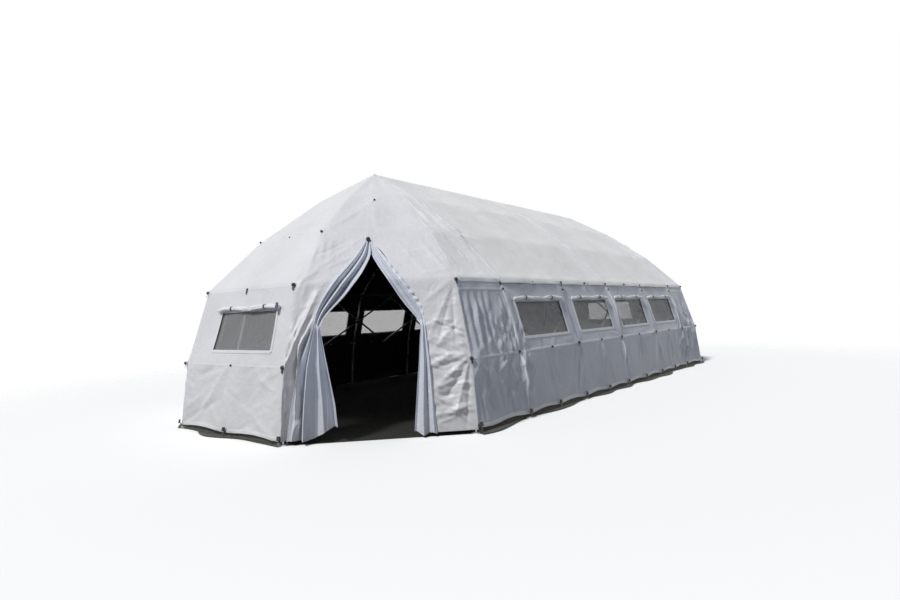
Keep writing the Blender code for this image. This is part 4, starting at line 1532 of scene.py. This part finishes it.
def make_skirt():
    """The dark skirt that shows under the hem and lies crumpled on the ground, open at the doorway."""
    lean = (HUBS[1][0] - HUBS[0][0]) / HUBS[1][1]
    sides = []
    for outset, height in SKIRT_SECTION:
        reach = HUBS[0][0] + lean * height + outset
        sides.append([octagon_place(angle, reach, end, height) for angle, end in SKIRT_CORNERS])
    counts = [max(1, round((b - a).length / 0.04)) for a, b in zip(sides[0], sides[0][1:])]
    grid = []
    for ring in sides:
        line = [tuple(a.lerp(b, n / count)) for a, b, count in zip(ring, ring[1:], counts) for n in range(count)]
        grid.append(line + [tuple(ring[-1])])
    points = np.array(grid)
    spread = np.linspace(0.0, 1.0, len(grid))[:, None]
    crumple = crumple_field(points, 6.5, 5.0) * 0.5 + 0.5
    points[..., 2] += crumple * 0.05 * np.clip(spread - 0.35, 0, 1) * (1.25 - spread)
    # where the cloth draws in, its outer part folds back towards the wall
    foot = points[0][None, :, :]
    drawn = np.clip(noise_field(foot.repeat(len(grid), 0), 1.6, 9.0) * 0.9 + 0.45, 0.0, 0.8) * spread
    for axis in (0, 1):
        points[..., axis] += (foot[..., axis] - points[..., axis]) * drawn
    starts = [sum(counts[:n]) for n in range(len(SKIRT_CORNERS))]
    for name, end, half, first, last in SKIRT_PARTS:
        part = points[:, starts[first]:starts[last] + 1]
        obj = mesh_from_grid(f"ground_skirt_{name}", part, SKIRT)
        if name == "left_side":
            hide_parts("ground_skirt")
        follow_side(obj, end, half)


make_skirt()

GROUNDSHEET_REACH = 2.53


def make_groundsheet():
    """The groundsheet inside, near-black as painted shade of the dark inside, cut to the plan of the shelter and a
    little rumpled.
    """
    reach = GROUNDSHEET_REACH
    corner = END_Y + reach * CORNER_SLOPE
    stations = steps(-END_Y - reach, END_Y + reach, 0.12, [-END_Y, END_Y, -END_Y - reach * CORNER_SLOPE, corner])
    across = np.linspace(-1, 1, 41)
    rows = []
    for y in stations:
        spare = max(abs(y) - END_Y, 0.0)
        half = reach if spare <= reach * CORNER_SLOPE else reach * math.sqrt(2) - spare
        rows.append([(half * x, y, 0.003) for x in across])
    points = np.array(rows)
    inside = share(1 - np.abs(across), 0.1)[None, :]
    points[..., 2] += np.abs(noise_field(points, 1.8, 21.0)) * 0.012 * inside
    obj = mesh_from_grid("groundsheet", points, SHADE_GROUND)
    follow_middle(obj)


make_groundsheet()


# Metal frame

for name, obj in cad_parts.items():
    if name.startswith("arch_") or "_end_rib_" in name or "_bar_" in name:
        obj.data.materials.clear()
        obj.data.materials.append(ALUMINIUM)


# Floor and light

# Tones of the floor to the camera and to bounced light, and where it fades out
FLOOR_TONE = 0.98
FLOOR_BOUNCE = 0.24
FLOOR_FADE = (6.5, 12.0)
FLOOR_HALF = 90.0
SUN_STRENGTH = 2.80
SUN_ANGLE = math.radians(9)
SUN_COLOUR = (1.0, 0.985, 0.96)
SUN_FROM = (-0.08, -0.62, 0.78)
SKY_STRENGTH = 0.29
SKY_COLOUR = (0.80, 0.89, 1.0, 1.0)


def make_floor():
    """A plain pale floor that keeps the shadow and reads white to the camera."""
    mesh = bpy.data.meshes.new("floor")
    corners = [(x * FLOOR_HALF, y * FLOOR_HALF, 0) for x, y in ((-1, -1), (1, -1), (1, 1), (-1, 1))]
    mesh.from_pydata(corners, [], [(0, 1, 2, 3)])
    floor = bpy.data.objects.new("floor", mesh)
    bpy.context.scene.collection.objects.link(floor)
    grey = (FLOOR_TONE, FLOOR_TONE, FLOOR_TONE)
    finish = Finish("floor", grey, 0.95, specular=0.1)
    rays = finish.node("LightPath").outputs
    seen = finish.either(rays["Is Camera Ray"], rays["Is Glossy Ray"])
    bounce = (FLOOR_BOUNCE, FLOOR_BOUNCE, FLOOR_BOUNCE, 1.0)
    finish.feed("Base Color", finish.mix(seen, bounce, (*grey, 1.0)))
    # far from the shelter the floor thins out into the white surround
    reach = finish.node("VectorMath", [finish.place], operation="LENGTH").outputs["Value"]
    fade = finish.share_between(reach, *FLOOR_FADE, interpolation_type="SMOOTHSTEP")
    clear = finish.node("BsdfTransparent").outputs["BSDF"]
    both = finish.node("MixShader", [fade, finish.shader.outputs["BSDF"], clear])
    finish.link(both.outputs["Shader"], finish.tree.nodes["Material Output"].inputs["Surface"])
    mesh.materials.append(finish.material)


def make_light():
    """A soft high key from the front left and an even pale surround."""
    sun = bpy.data.lights.new("key", "SUN")
    sun.energy = SUN_STRENGTH
    sun.angle = SUN_ANGLE
    sun.color = SUN_COLOUR
    lamp = bpy.data.objects.new("key", sun)
    bpy.context.scene.collection.objects.link(lamp)
    lamp.rotation_euler = Vector(SUN_FROM).normalized().to_track_quat("Z", "Y").to_euler()
    world = bpy.data.worlds.new("surround")
    world.use_nodes = True
    graph = Graph(world.node_tree)
    graph.tree.nodes.clear()
    soft = graph.node("Background", Strength=SKY_STRENGTH, Color=SKY_COLOUR)
    white = graph.node("Background", Strength=1.0, Color=(1.0, 1.0, 1.0, 1.0))
    rays = graph.node("LightPath").outputs
    seen = graph.either(rays["Is Camera Ray"], rays["Is Glossy Ray"])
    seen = graph.either(seen, rays["Is Transmission Ray"])
    mix = graph.node("MixShader", [seen, soft.outputs["Background"], white.outputs["Background"]])
    graph.link(mix.outputs["Shader"], graph.node("OutputWorld").inputs["Surface"])
    bpy.context.scene.world = world


make_floor()
make_light()
bpy.context.scene.view_settings.view_transform = "Standard"
